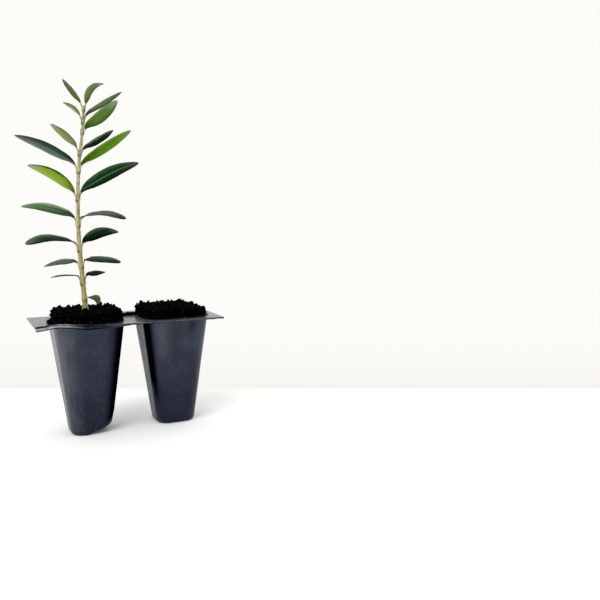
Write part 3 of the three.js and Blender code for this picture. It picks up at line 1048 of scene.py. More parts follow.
        def section(x: float) -> list[tuple[float, float]]:
            """The rim's outline at x, in pairs of how far before the cut edge and how far below it."""
            depth = self.rim_depth(x)
            lip = self.lip_out * max(0.0, 1 - (x - self.left_end) / (self.lip_end - self.left_end)) ** 0.7
            end = 1 - ease(self.left_end, -22.0, x)
            groove = self.groove * (1 - ease(-8.0, 22.0, x)) + 0.8 * end + 0.02
            ledge, slope = top + 0.32 * (depth - top), top + 0.72 * (depth - top)
            return [(back, top), (-groove, top), (-groove, ledge), (0.1 * lip - 0.02, ledge + 0.05),
                    (lip, slope), (lip, slope + 0.08), (lip - 0.25, depth), (back, depth)]

        sloping = (0.0, 0.0, 0.0, 0.9, 1.0, 0.1, 0.0, 0.0)
        corners = len(sloping)

        def place(u: float, v: float) -> Vector:
            """Puts a corner of the rim in its place."""
            x = self.along(v)
            out, down = section(x)[round(u * corners) % corners]
            ragged = 0.16 * noise.noise(Vector((x / 5, 3.0, 5.0)))
            ragged += 0.08 * noise.noise(Vector((x / 1.7, down, 1.0)))
            return Vector((x, self.front(x) - out + ragged, self.height + self.curl(x) - down + ragged))

        def mark(u: float, v: float) -> tuple[float, float]:
            """Paints a highlight on the lip's slope, where it reflects the bright room, and painted shade on
            the faces round it and on the rim between the cells.
            """
            x = self.along(v)
            corner = round(u * corners) % corners
            painted_shade = float(sloping[corner] < 0.5) * (ease(-33.0, -25.0, x) if corner > 4 else 1.0)
            painted_highlight = sloping[corner] * (1 - ease(*self.lip_highlight, x))
            shaded = max(painted_shade, 0.5 * ease(-14.0, 0.0, x)) * (1 - ease(*self.lip_shade, x))
            return painted_highlight, max(shaded, self.bridge_shade.at(x))

        form.bend(corners, self.rim_rows, place, mark)
        bmesh.ops.holes_fill(form.bm, edges=[edge for edge in form.bm.edges if edge.is_boundary], sides=0)
        form.close().piece("tray_front_rim", Slot.TRAY, [self.material], ["tray"], 40.0)

    def build(self) -> None:
        """Builds the tray's pieces."""
        self.shell()
        self.rim()


@dataclass(frozen=True)
class Block:
    """One cell's compost: its name, the cell's middle, the block's side and shift, and its crumbs' seed."""

    word: str
    x: float
    side: float
    shift: float
    seed: int

    @property
    def planted(self) -> bool:
        """Whether this is the block that holds the stem."""
        return self.word == "planted"

    @property
    def middle(self) -> float:
        """The middle of the block above the flange."""
        return self.x + self.shift


@dataclass(frozen=True)
class Grain:
    """A range of crumb sizes: the least, how far it reaches above that, and how rare the large ones are."""

    least: float
    span: float
    rarity: float

    def draw(self, chance: random.Random) -> float:
        """Draws one size."""
        return self.least + self.span * chance.random() ** self.rarity


@dataclass
class Compost:
    """Compost in both cells: a body that fills the cell, the block above it, its crumbs and its fibres."""

    tray: CellTray
    top: float = 93.0
    rim: float = 85.3
    inset: float = 1.1
    block_side: float = 46.8
    spare_side: float = 48.0
    block_corner: float = 12.0
    skirt: float = 1.6
    skirt_height: float = 2.0
    shift: float = 0.5
    lump: float = 1.3
    lump_scale: float = 1.9
    grades: tuple[tuple[float, float], ...] = ((3.6, 2.4), (1.7, 1.5), (0.8, 0.6))
    sunk: float = 0.5
    sunk_left: float = 0.8
    sunk_left_run: tuple[float, float] = (-24.0, -15.0)
    sunk_right: float = 2.3
    sunk_right_run: tuple[float, float] = (10.0, 22.0)
    edge: tuple[float, float] = (0.84, 1.0)
    edge_drop: float = 1.1
    corner_drop: float = 1.2
    corner_run: tuple[float, float] = (24.0, 30.0)
    hollow: Swell = Swell(0.6, 0.0, 5.0)
    wall_rows: int = 12
    side_rows: int = 15
    top_rows: int = 44
    pad: float = 4.0
    columns: int = 280
    crumb_count: int = 760
    crumb: Grain = Grain(0.35, 0.9, 2.5)
    clod_count: int = 26
    clod: Grain = Grain(0.9, 1.4, 1.5)
    swell: float = 3.0
    swell_scale: float = 6.5
    heap_x: float = -26.0
    heap_y: float = -2.0
    heap_wide: float = 2.4
    heap_deep: float = 4.6
    heap_high: float = 1.7
    heap_crumb: Grain = Grain(0.3, 0.6, 2.0)
    fibre_count: int = 46
    spill_length: float = 14.2
    spill_width: float = 5.0
    spill_height: float = 2.1
    spill_y: float = 8.0
    spill_crumbs: int = 90
    spill_crumb: Grain = Grain(0.3, 0.5, 2.0)
    heap_crumbs: int = 60
    top_share: float = 0.52
    side_share: float = 0.93
    finish: CrumblyCompost = field(default_factory=CrumblyCompost)

    @cached_property
    def material(self) -> Material:
        """The compost's one material."""
        return self.finish.dress()

    def outline(self, side: float, z: float, angle: float) -> float:
        """Distance from the middle to the compost's edge at that height and angle."""
        if z < self.rim:
            drawn = 2 * self.inset
            return square_reach(self.tray.side(z) - drawn, self.tray.corner(z) - self.inset, angle)
        spread = self.skirt * max(0.0, 1 - (z - self.rim) / self.skirt_height)
        return square_reach(side + spread, self.block_corner, angle)

    def rough(self, point: Vector) -> float:
        """How far the crumbly surface stands out there, in millimetres."""
        out = self.lump * lumps(point, self.lump_scale) * 0.7
        for size, height in self.grades:
            distance = noise.voronoi(point / size)[0][0]
            out += height * (0.2 - distance * distance)
        return out

    def slump(self, x: float) -> float:
        """How far the spare block's top has slumped at x from its middle."""
        left = self.sunk_left * (1 - ease(*self.sunk_left_run, x))
        return self.sunk + left + self.sunk_right * ease(*self.sunk_right_run, x)

    def crest(self, x: float, spot: Vector) -> float:
        """How far a block's top swells or has slumped at a spot, counted from the block's middle x."""
        scale = self.swell_scale
        swell = self.swell * noise.noise(Vector(((spot.x + x) / scale, spot.y / scale, 2.0)))
        return swell - (self.slump(spot.x) if x > self.tray.pitch / 2 else 0.0)

    def body(self, form: Form, block: Block) -> None:
        """Bends one cell's compost from the middle of its underside round to the middle of its top.

        Args:
            form: The piece so far.
            block: The cell's compost.
        """
        foot, planted = self.inset, block.planted
        rounding = self.tray.foot_round
        wall, side, top = self.wall_rows, self.side_rows, self.top_rows
        profile = [(share, foot) for share in (0.0, 0.4, 0.8)] + [(0.94, foot + 0.8), (1.0, foot + rounding)]
        profile += [(1.0, rounding + foot + (self.rim - 0.1 - rounding - foot) * row / wall)
                    for row in range(1, wall + 1)]
        profile += [(1.0, self.rim + (self.top - self.rim) * row / side) for row in range(side + 1)]
        profile += [(1 - row / top, self.top) for row in range(1, top + 1)]

        def place(u: float, v: float) -> Vector:
            """Puts a corner of the compost in its place."""
            share, z = profile[round(v * (len(profile) - 1))]
            angle = TURN * u
            reach = share * self.outline(block.side, z, angle)
            point = around(reach, angle, z)
            if z < self.rim:
                point.z += self.tray.dent(point.x, z) if planted else 0.0
                return point + Vector((block.x, 0, 0))
            rough = self.rough(point + Vector((block.x, 0, 0)))
            risen = (z - self.rim) / (self.top - self.rim)
            if share == 1.0:
                point.xy *= 1 + rough * 0.9 * min(1.0, 3 * risen) / reach
            rounded = (ease(*self.edge, share) * self.edge_drop
                       + ease(*self.corner_run, reach) * self.corner_drop)
            flat = ease(2.0, self.pad, reach) if planted else 1.0
            if risen > 0.99:
                point.z += self.crest(block.x, point) * flat + rough * flat - rounded
                point.z -= self.hollow.at(reach) if planted else 0.0
            elif not planted:
                point.z -= self.slump(point.x) * risen
            return point + Vector((block.middle, 0, 0))

        form.bend(self.columns, len(profile) - 1, place)

    def scatter(self, form: Form, block: Block, chance: random.Random) -> None:
        """Strews crumbs over a block's top and sides and a few on the flange beside it.

        Args:
            form: The piece so far.
            block: The block.
            chance: The seeded source of places and sizes.
        """
        x, side = block.middle, block.side
        for number in range(self.crumb_count):
            angle = chance.uniform(0, TURN)
            size = self.crumb.draw(chance)
            reach = self.outline(side, self.top, angle)
            where = number / self.crumb_count
            if where < self.top_share:
                share = math.sqrt(chance.random())
                spot = around(share * reach, angle, self.top)
                spot.z += self.rough(spot + Vector((x, 0, 0))) - self.edge_drop * ease(*self.edge, share)
                spot.z += self.crest(x, spot)
                if spot.xy.length < self.pad:
                    continue
            elif where < self.side_share:
                z = chance.uniform(self.rim + 0.6, self.top - 0.3)
                reach = self.outline(side, z, angle)
                spot = around(reach, angle, z)
                spot.xy *= 1 + self.rough(spot + Vector((x, 0, 0))) * 0.7 / reach
                if not block.planted:
                    spot.z -= self.slump(spot.x) * (z - self.rim) / (self.top - self.rim)
            else:
                size *= 0.6
                reach = self.outline(side, self.rim, angle) + chance.uniform(0.0, 1.5) ** 2
                spot = around(reach, angle, self.tray.height + size * 0.7)
                if spot.y < self.tray.front(x + spot.x) + size or spot.y > self.tray.back - size:
                    continue
            form.crumb(spot + Vector((x, 0, 0)), size, chance)

    def strew(self, form: Form, chance: random.Random) -> None:
        """Piles crumbs against the planted block's left side."""
        wide, deep = self.heap_wide, self.heap_deep
        for _ in range(self.heap_crumbs):
            x, y = chance.gauss(0, 0.4) * wide, chance.gauss(0, 0.5) * deep
            size = self.heap_crumb.draw(chance)
            rise = self.heap_high * hump(x, wide) * hump(y, deep) * chance.random()
            spot = Vector((self.heap_x + x, self.heap_y + y, self.tray.height + size * 0.7 + rise))
            form.crumb(spot, size, chance)

    def clods(self, form: Form, block: Block, chance: random.Random) -> None:
        """Sets larger clods round a block's top edge.

        Args:
            form: The piece so far.
            block: The block.
            chance: The seeded source of places and sizes.
        """
        for number in range(self.clod_count):
            angle = TURN * (number + chance.uniform(-0.4, 0.4)) / self.clod_count
            size = self.clod.draw(chance)
            reach = self.outline(block.side, self.top, angle) - size * 0.7 - chance.uniform(0.0, 2.0)
            spot = around(reach, angle, self.top + chance.uniform(-1.2, 0.2))
            spot.z += self.crest(block.middle, spot)
            form.crumb(spot + Vector((block.middle, 0, 0)), size, chance)

    def fibres(self, form: Form, block: Block, chance: random.Random) -> None:
        """Sticks thin bent fibres into a block.

        Args:
            form: The piece so far.
            block: The block.
            chance: The seeded source of their places.
        """
        for _ in range(self.fibre_count):
            angle = chance.uniform(0, TURN)
            share = 0.55 + 0.45 * chance.random()
            root = around(share * self.outline(block.side, self.top, angle), angle, self.top - 0.2)
            root += Vector((block.middle, 0, self.crest(block.middle, root)))
            lean = Vector((chance.gauss(0, 1), chance.gauss(0, 1), chance.uniform(0.1, 0.9))).normalized()
            curl = Vector((chance.gauss(0, 1), chance.gauss(0, 1), -0.4)) * 0.8
            long, thick = chance.uniform(1.5, 3.4), chance.uniform(0.07, 0.14)

            def place(u: float, v: float) -> Vector:
                """Puts a corner of the fibre in its place."""
                ring = Vector((math.cos(TURN * u), math.sin(TURN * u), 0.3 * math.cos(TURN * u)))
                return root + lean * (long * v) + curl * v * v + ring * thick * (1 - v) ** 0.5

            form.bend(4, 6, place)

    def spill(self) -> None:
        """Builds the ridge of crumbs between the two blocks."""
        form = Form()
        base = self.tray.height
        left = self.tray.pitch / 2 - self.spill_length / 2

        def place(u: float, v: float) -> Vector:
            """Puts a corner of the ridge in its place."""
            angle = TURN * u
            end = math.sqrt(max(0.0, 1 - (2 * v - 1) ** 8))
            wide = self.spill_width / 2.4 * math.cos(angle) * end
            point = Vector((left + self.spill_length * v, self.spill_y + v + wide,
                            base + self.spill_height / 2 * (1 + math.sin(angle) * end)))
            point.z += 0.45 * self.rough(point) * max(0.0, math.sin(angle)) * end
            return Vector((point.x, point.y, max(point.z, base)))

        form.bend(36, 60, place)
        chance = random.Random(53)
        for _ in range(self.spill_crumbs):
            along = chance.random()
            size = self.spill_crumb.draw(chance)
            off = chance.gauss(0, 0.33)
            rise = self.spill_height * max(0.1, 1 - (1.7 * off) ** 2) * 0.85
            spot = Vector((left + self.spill_length * along, self.spill_y + along + self.spill_width * off,
                           base + max(size * 0.6, rise)))
            form.crumb(spot, size, chance)
        form.close().piece("compost_ridge", Slot.COMPOST, [self.material], ["compost_spill"])

    def build(self) -> None:
        """Builds the compost of both cells and the ridge between them."""
        for block in (Block("planted", 0.0, self.block_side, self.shift, 11),
                      Block("spare", self.tray.pitch, self.spare_side, 0.0, 29)):
            form = Form()
            chance = random.Random(block.seed)
            self.body(form, block)
            form.close()
            self.scatter(form, block, chance)
            self.clods(form, block, chance)
            if block.planted:
                self.strew(form, chance)
            self.fibres(form, block, chance)
            form.close().piece(f"compost_block_{block.word}", Slot.COMPOST, [self.material],
                               [f"compost_{block.word}"], 42.0)
        self.spill()


@dataclass(frozen=True)
class Scar:
    """A leaf scar on the bark."""

    z: float
    angle: float
    size: float


@dataclass(frozen=True)
class Patch:
    """A soft patch on the bark under or over each leaf.

    Above and tall say where its middle lies over the node and how high it is, in millimetres, and wide how
    far it reaches round the stem, in radians.
    """

    strength: float
    above: float
    tall: float
    wide: float

    def at(self, rise: float, off: float) -> float:
        """How strong it is so far above the node and so far round from the leaf."""
        return self.strength * hump(rise - self.above, self.tall) * hump(off, self.wide)


@dataclass
class Stem:
    """The stem: its leaning curve, its taper, and the swellings, cushions and scars of its nodes.

    Each of the bark's ripples is a height, a fineness round the stem and a length along it.
    """

    foot: float = 93.3
    top: float = 242.0
    sunk: float = 1.6
    path: tuple[tuple[float, float], ...] = (
        (0, 93.3), (-1.2, 117), (-2.5, 144), (-2.3, 168), (-0.3, 199.5), (2.7, 220), (5, 242))
    foot_radius: float = 1.9
    top_radius: float = 0.95
    flare: float = 0.6
    flare_height: float = 5.0
    swelling: float = 0.32
    node_length: float = 2.2
    bud: float = 2.6
    nodes: tuple[float, ...] = (240, 231, 223.5, 208, 195.5, 175.5, 157, 138.5, 126, 114, 102)
    first_axis: float = -55.0
    cushion: float = 0.62
    cushion_wide: float = 0.62
    cushion_rise: Band = Band(-3.4, 0.2, 1.2, 3.6)
    node_reach: float = 6.0
    scar_rim: float = 0.28
    scar_hollow: float = 0.1
    scars: tuple[Scar, ...] = (
        Scar(224.5, 200, 1.0), Scar(117.5, -40, 0.7), Scar(108.0, -20, 0.8), Scar(98.5, -35, 0.8),
        Scar(101.0, 125, 0.8), Scar(186.0, -110, 0.45), Scar(147.5, -60, 0.5))
    crease: Patch = Patch(0.1, 2.6, 0.4, 1.1)
    green: Patch = Patch(1.0, 0.6, 2.4, 0.8)
    brown: Patch = Patch(0.95, -2.2, 0.9, 0.95)
    ripples: tuple[tuple[float, float, float], ...] = ((0.07, 2.4, 5.0), (0.05, 5.0, 2.0))
    # Painted shade on the side of the stem away from the light: its heading in radians, its width and its
    # strength.
    shaded: float = -1.0
    shaded_wide: float = 0.6
    shaded_darkening: float = 0.62
    green_tip: float = 9.0
    samples: int = 1200
    columns: int = 32
    rows: int = 620
    bark: YoungBark = field(default_factory=YoungBark)

    @cached_property
    def curve(self) -> Spline:
        """The stem's centre line."""
        return Spline(tuple(Vector((x, 0.0, z)) for x, z in self.path))

    @cached_property
    def centres(self) -> list[tuple[float, float]]:
        """Pairs of height and x along the centre line."""
        points = [self.curve.raw(step / self.samples) for step in range(self.samples + 1)]
        return [(point.z, point.x) for point in points]

    def x(self, z: float) -> float:
        """The centre line's x at a height."""
        index = min(max(bisect_right(self.centres, (z, math.inf)) - 1, 0), len(self.centres) - 2)
        (low, x_low), (high, x_high) = self.centres[index], self.centres[index + 1]
        return x_low + (x_high - x_low) * min(max((z - low) / (high - low), 0.0), 1.0)

    def axis(self, pair: int) -> float:
        """The heading of a pair's right leaf, in radians. Each pair is a quarter turn round from the last."""
        return math.radians(self.first_axis + 90 * ((pair - 1) % 2))

    def radius(self, z: float) -> float:
        """The source's radius at a height."""
        taper = self.foot_radius + ((self.top_radius - self.foot_radius) * (z - self.foot)
                                    / (self.top - self.foot))
        flare = self.flare * max(0.0, 1 - (z - self.foot) / self.flare_height) ** 2
        near = min(abs(z - (node - self.node_length / 2)) for node in self.nodes) / self.node_length
        return taper + min(flare, self.flare) + self.swelling * max(0.0, 1 - near * near)

    def distance(self, scar: Scar, angle: float, z: float) -> float:
        """How far a place on the bark lies from a scar's middle."""
        return math.hypot(swing(angle, math.radians(scar.angle)) * self.radius(z), z - scar.z)

    def relief(self, angle: float, z: float, headings: Sequence[tuple[float, float]]) -> float:
        """How far the bark stands out of the plain radius.

        Args:
            angle: The place round the stem, in radians.
            z: Its height.
            headings: Each leaf's node height and heading.

        Returns:
            The relief in millimetres.
        """
        out = sum(height * noise.noise(around(fine, angle, z / long)) for height, fine, long in self.ripples)
        for node, heading in headings:
            if abs(z - node) > self.node_reach:
                continue
            off = swing(angle, heading)
            out += self.cushion * self.cushion_rise.at(z - node) * hump(off, self.cushion_wide)
            out -= self.crease.at(z - node, off)
        for scar in self.scars:
            distance, soft = self.distance(scar, angle, z), scar.size * 0.5
            out += self.scar_rim * hump(distance - scar.size * 0.8, soft)
            out -= self.scar_hollow * hump(distance, soft)
        return out

    def build(self, headings: Sequence[tuple[float, float]]) -> None:
        """Builds the stem.

        Args:
            headings: Each leaf's node height and heading.
        """
        form = Form()
        low = self.foot - self.sunk
        span = self.top - low

        def place(u: float, v: float) -> Vector:
            """Puts a corner of the bark in its place."""
            z = low + span * v
            angle = TURN * u
            pointed = math.sqrt(min(1.0, (self.top - z) / self.bud))
            reach = (self.radius(z) + self.relief(angle, z, headings)) * pointed if v > 0 else 0.0
            return around(reach, angle, z, self.x(z))

        def mark(u: float, v: float) -> tuple[float, float]:
            """Paints the scars brown, the cushions under the leaves green with brown below them, the tip
            green, and painted shade in brown on the side away from the light.
            """
            z, angle = low + span * v, TURN * u
            patches = 0.5 + noise.noise(around(1.5, angle, z / 3.5))
            # Painted shade on the side away from the light.
            away_from_light = hump(swing(angle, self.shaded), self.shaded_wide)
            wear_and_painted_light = self.shaded_darkening * away_from_light * ease(0.1, 0.7, patches)
            young = 0.0
            for scar in self.scars:
                wear_and_painted_light = max(wear_and_painted_light, hump(self.distance(scar, angle, z), scar.size * 0.75))
            for node, heading in headings:
                off = swing(angle, heading)
                young = max(young, self.green.at(z - node, off))
                wear_and_painted_light = max(wear_and_painted_light, self.brown.at(z - node, off))
            return wear_and_painted_light, max(young, ease(self.top - self.green_tip, self.top, z))

        form.bend(self.columns, self.rows, place, mark)
        form.close().piece("stem_bark", Slot.STEM, [self.bark.dress()], ["trunk"])


# In each skin the high and low colours are painted sheen and painted shade.
MOSS = lit("moss", (62, 84, 34), (74, 97, 56), (88, 94, 74), (94, 114, 76), (48, 71, 26), (99, 115, 80))
SHEEN = lit("sheen", (3, 10, 2), (66, 90, 54), (54, 66, 46), (101, 115, 92), (34, 64, 22), (93, 110, 82),
    high_share=0.9, low_share=0.9, high_from=0.1, heel_to=0.5)
NIGHT = lit("night", (20, 38, 14), (6, 26, 6), (76, 92, 60), (96, 114, 86), (2, 12, 2), (40, 60, 34),
    high_share=0.95, low_share=0.95, rib_share=0.2, high_from=0.2, gloss=0.008)
DEEP = lit("deep", (4, 10, 4), (2, 28, 14), (80, 86, 76), (70, 86, 68), (1, 3, 1), (48, 64, 50),
    high_share=0.85, low_share=0.95, rib_share=0.4, high_from=0.3, gloss=0.012)
BANDED = lit("banded", (1, 4, 1), (38, 62, 44), (74, 82, 74), (18, 38, 20), (98, 112, 100), (116, 130, 118),
    high_share=0.9, low_share=0.85, rib_share=0.95, high_from=0.3)
RIBBED = lit("ribbed", (28, 62, 28), (6, 52, 14), (64, 80, 62), (66, 90, 68), (1, 10, 1), (100, 124, 96),
    high_share=0.85, low_share=0.85, rib_share=0.95, high_from=0.5, gloss=0.015)
EDGED = lit("edged", (6, 20, 4), (60, 98, 54), (108, 120, 102), (136, 148, 130), (40, 74, 36),
    (124, 146, 112), high_share=0.95, rib_share=0.5, high_from=0.4, heel_to=0.66)
DULL = lit("painted_shade", (112, 122, 66), (72, 86, 70), (2, 3, 2), (100, 112, 98), (34, 49, 28), (86, 97, 73),
    gloss=0.015)
INKY = lit("inky", (66, 82, 60), (34, 54, 38), (2, 4, 2), (84, 98, 84), (12, 24, 14), (70, 86, 70),
    high_share=0.85, low_share=0.9, high_from=0.1, gloss=0.015)
SOFT = lit("soft", (3, 5, 3), (22, 50, 20), (78, 96, 74), (88, 104, 86), (1, 8, 1), (64, 86, 56),
    high_share=0.9, low_share=0.95, high_from=0.2, gloss=0.015)
SILVER = lit("silver", (62, 70, 52), (68, 86, 70), (96, 102, 92), (108, 120, 110), (34, 50, 32),
    (88, 102, 88))
DUSKY = lit("dusky", (84, 84, 70), (64, 66, 56), (76, 74, 66), (96, 98, 90), (40, 44, 34), (80, 82, 72))
HANGING = lit("hanging", (118, 132, 104), (56, 78, 48), (64, 88, 56), (84, 104, 76), (38, 60, 32),
    (92, 110, 84))
# The bright greens of YOUNG, BRIGHT and LIME stand in for light shining through the leaf: painted light.
YOUNG = backed("young", Slot.LEAF_BRIGHT, (46, 78, 8), (86, 116, 44), (144, 152, 126), (126, 142, 98),
    (56, 88, 14), (110, 136, 72), high_from=0.6)
FRESH = backed("fresh", Slot.LEAF_BRIGHT, (52, 84, 12), (98, 124, 64), (156, 160, 142), (132, 146, 108),
    (66, 98, 24), (116, 140, 82), high_share=0.8, high_from=0.3)
BRIGHT = backed("bright", Slot.LEAF_BRIGHT, (46, 88, 6), (74, 120, 6), (114, 138, 60), (115, 136, 80),
    (104, 142, 22), (106, 142, 40), high_from=0.6, heel_to=0.6)
SAGE = backed("sage", Slot.LEAF_PALE, (98, 114, 62), (130, 147, 88), (152, 156, 130), (62, 86, 34),
    (140, 154, 106), (150, 160, 122), high_share=0.8, high_from=0.4)
STRAW = backed("straw", Slot.LEAF_PALE, (94, 112, 54), (142, 152, 98), (128, 130, 110), (52, 78, 26),
    (148, 156, 112), (154, 162, 122), high_share=0.85, high_from=0.35)
LIME = backed("lime", Slot.LEAF_LIME, (60, 92, 4), (130, 164, 42), (160, 166, 126), (44, 74, 8),
    (156, 182, 84), (130, 156, 56), high_share=1.0, high_from=0.5)


@dataclass(frozen=True)
class Leaf:
    """One leaf. On it, reach runs out from the stem's axis to the tip and rise up from the node to the tip.

    Arch is how far its middle stands above a straight blade, and roll turns it about its midrib, in degrees.
    Climb and stand are its stalk's rise and run. Blunt is less for a fuller blade, and widest more for one
    that is broadest towards its tip.
    """

    pair: int
    side: Side
    reach: float
    rise: float
    arch: float
    width: float
    roll: float
    skin: LeafSkin
    short: bool = False
    climb: float = 4.2
    stand: float = 1.3
    blunt: float = 0.6
    widest: float = 0.9

    @property
    def name(self) -> str:
        """The name of the leaf's CAD node."""
        return f"leaf_{self.pair:02d}_{self.side.name.lower()}"


LEAVES = (
    Leaf(1, Side.LEFT, 20, 22, 0, 4.5, -28, MOSS),
    Leaf(1, Side.RIGHT, 20, 15.5, 4.5, 6, -15, FRESH, climb=3.4, stand=0.3, blunt=0.5),
    Leaf(2, Side.LEFT, 18.5, 10.5, 1.4, 3.8, 20, STRAW),
    Leaf(2, Side.RIGHT, 42, 26, 0, 7, 16, SHEEN),
    Leaf(3, Side.RIGHT, 34, 19.5, -1.4, 9.6, -25, YOUNG, climb=2, blunt=0.55),
    Leaf(4, Side.LEFT, 26.5, 18, 0.7, 6.2, 25, SAGE),
    Leaf(4, Side.RIGHT, 35.5, 19.5, -0.6, 6.8, 28, NIGHT, climb=2.8),
    Leaf(5, Side.LEFT, 65, 28, 2.2, 8.6, -40, BANDED),
    Leaf(5, Side.RIGHT, 50.5, 26, 0, 8.6, -24, BRIGHT, blunt=0.55),
    Leaf(6, Side.LEFT, 44.5, 21.5, 3.4, 8.8, 34, LIME),
    Leaf(6, Side.RIGHT, 68, 29, 2.8, 11, 44, RIBBED),
    Leaf(7, Side.LEFT, 59, 12.5, 3, 8.4, -45, EDGED),
    Leaf(7, Side.RIGHT, 45.5, 3.5, 3.4, 8.6, 23, DULL, blunt=0.36, widest=0.85),
    Leaf(8, Side.LEFT, 49, 5.5, 3.9, 8.2, -35, SOFT, blunt=0.45, widest=1.25),
    Leaf(8, Side.RIGHT, 42, 11, 3.4, 9.4, 45, DEEP),
    Leaf(9, Side.LEFT, 39, -2.5, 1.6, 6.6, -40, SILVER, climb=2.2),
    Leaf(9, Side.RIGHT, 38.5, 3.5, 1.2, 7, 35, INKY, blunt=0.45),
    Leaf(10, Side.LEFT, 30.5, 5.5, 1.3, 4.5, -4, DUSKY),
    Leaf(10, Side.RIGHT, 24.5, 5, 0.5, 5.4, 40, DEEP, blunt=0.8, widest=0.75),
    Leaf(11, Side.RIGHT, 14, -4, 0, 5.2, 40, HANGING, short=True, blunt=0.6, widest=1.3),
)


@dataclass
class Foliage:
    """All the leaves, each grown by the source's rule with its midrib, rolled margins and stalk."""

    stem: Stem
    clearance: float = 0.3
    stalk_half: float = 0.5
    heel_half: float = 0.85
    thickness: float = 0.42
    stalk_thickness: float = 1.15
    stalk_share: float = 0.9
    short_stalk: float = 0.12
    heel_sunk: float = 1.0
    neck_end: tuple[float, float] = (0.6, 1.0)
    fold: float = 0.2
    roll_run: float = 0.15
    groove: float = 0.14
    groove_width: float = 0.32
    rib: float = 0.34
    rib_width: float = 0.3
    stalk_run: float = 0.16
    tip_run: float = 0.9
    tip_thinned: float = 0.6
    fading: tuple[float, float] = (0.7, 0.98)
    margin_roll: float = 0.3
    wave: float = 0.08
    waves: tuple[float, float] = (2.3, 4.9)
    columns: int = 36
    rows: int = 84

    def heading(self, leaf: Leaf) -> float:
        """The direction in plan that a leaf leaves the stem, in radians."""
        return self.stem.axis(leaf.pair) + math.radians(leaf.side.value)

    def midrib(self, leaf: Leaf) -> Spline:
        """The source's midrib curve for a leaf."""
        node = self.stem.nodes[leaf.pair - 1]
        heading = self.heading(leaf)
        start = self.stem.radius(node) + self.clearance + self.stalk_half

        def at(out: float, up: float) -> Vector:
            """A point so far out from the stem's axis and up from the node."""
            return around(out, heading, node + up, self.stem.x(node))

        tip = at(leaf.reach, leaf.rise)
        if leaf.short:
            return Spline((at(start, 0), at(start + 3, 0.6), at(leaf.reach - 1.5, 0), tip))
        base = Vector((start + leaf.stand, leaf.climb))
        chord = Vector((leaf.reach, leaf.rise)) - base
        upright = Vector((-chord.y, chord.x)).normalized()
        bowed = [base + chord * share + upright * (4 * leaf.arch * share * (1 - share))
                 for share in (1 / 3, 2 / 3)]
        return Spline((at(start, 0), at(*base), *(at(*point) for point in bowed), tip))

    def grow(self, leaf: Leaf) -> None:
        """Builds one leaf.

        Args:
            leaf: Its sizes and its skin.
        """
        curve = self.midrib(leaf)
        heading = self.heading(leaf)
        stalk = self.short_stalk if leaf.short else self.stalk_share * leaf.climb / curve.length
        raised = math.copysign(1.0, leaf.roll)
        outward = around(1, heading, 0)
        side = Vector((-math.sin(heading), math.cos(heading), 0))
        phase = leaf.pair * 1.7 + leaf.side.value
        spines = {}

        def spine(v: float) -> tuple[Vector, Vector, Vector, float]:
            """The midrib's place at v, the ways to the raised margin and up, and the share of the blade."""
            if v not in spines:
                blade = max(0.0, (v - stalk) / (1 - stalk))
                opened = min(1.0, blade / self.roll_run)
                tangent = curve.heading(v)
                across = Quaternion(tangent, math.radians(leaf.roll) * opened) @ side
                centre = curve.even(v) - outward * (self.heel_sunk * (1 - ease(0, stalk, v)))
                spines[v] = centre, across * raised, tangent.cross(across), blade
            return spines[v]

        def place(u: float, v: float) -> Vector:
            """Puts a corner of the leaf in its place."""
            centre, across, up, blade = spine(v)
            angle = TURN * u
            share = math.copysign(abs(math.cos(angle)) ** 1.5, math.cos(angle))
            opened = ease(0.0, self.roll_run, blade)
            full = math.sin(math.pi * blade ** leaf.widest) if 0 < blade < 1 else 0.0
            outline = leaf.width / 2 * full ** leaf.blunt
            neck = self.stalk_half * 0.8 + (self.heel_half - self.stalk_half) * (1 - ease(0, stalk, v))
            neck *= 1 - ease(*self.neck_end, blade)
            half = (outline ** 3 + neck ** 3) ** (1 / 3)
            thick = self.stalk_thickness - self.thickness
            thick = self.thickness + thick * (1 - ease(0.0, self.stalk_run, blade))
            thick *= 1 - self.tip_thinned * ease(self.tip_run, 1.0, blade)
            if v in (0.0, 1.0):
                return centre
            wide = share * half
            top = math.sin(angle)
            high = math.copysign(thick / 2 * math.sqrt(max(0.0, 1 - share * share)) ** 0.7, top)
            fade = opened * (1 - ease(*self.fading, blade))
            depth, width = (self.groove, self.groove_width) if top > 0 else (self.rib, self.rib_width)
            high -= depth * hump(wide, width) * fade
            high += self.fold * abs(wide) * opened
            high -= self.margin_roll * abs(share) ** 6 * fade
            slow, quick = (TURN * count * v for count in self.waves)
            ripple = math.sin(slow + phase) + 0.5 * math.sin(quick + 2 * phase + share)
            high += self.wave * ripple * share * share * fade
            return centre + across * wide + up * high

        def mark(_: float, v: float) -> tuple[float, float]:
            """Paints the stalk green and its heel brown."""
            return 0.6 * (1 - ease(0.0, 0.35 * stalk, v)), 1 - ease(0.75 * stalk, 1.25 * stalk, v)

        form = Form()
        form.bend(self.columns, self.rows, place, mark)
        for face in form.bm.faces:
            middle = sum(loop[form.uv].uv.x for loop in face.loops) / len(face.loops)
            face.material_index = int(middle > 0.5)
        form.close().piece(f"olive_{leaf.name}", leaf.skin.slot, leaf.skin.dress(), [leaf.name], 70.0)

    def build(self) -> None:
        """Grows every leaf."""
        for leaf in LEAVES:
            self.grow(leaf)


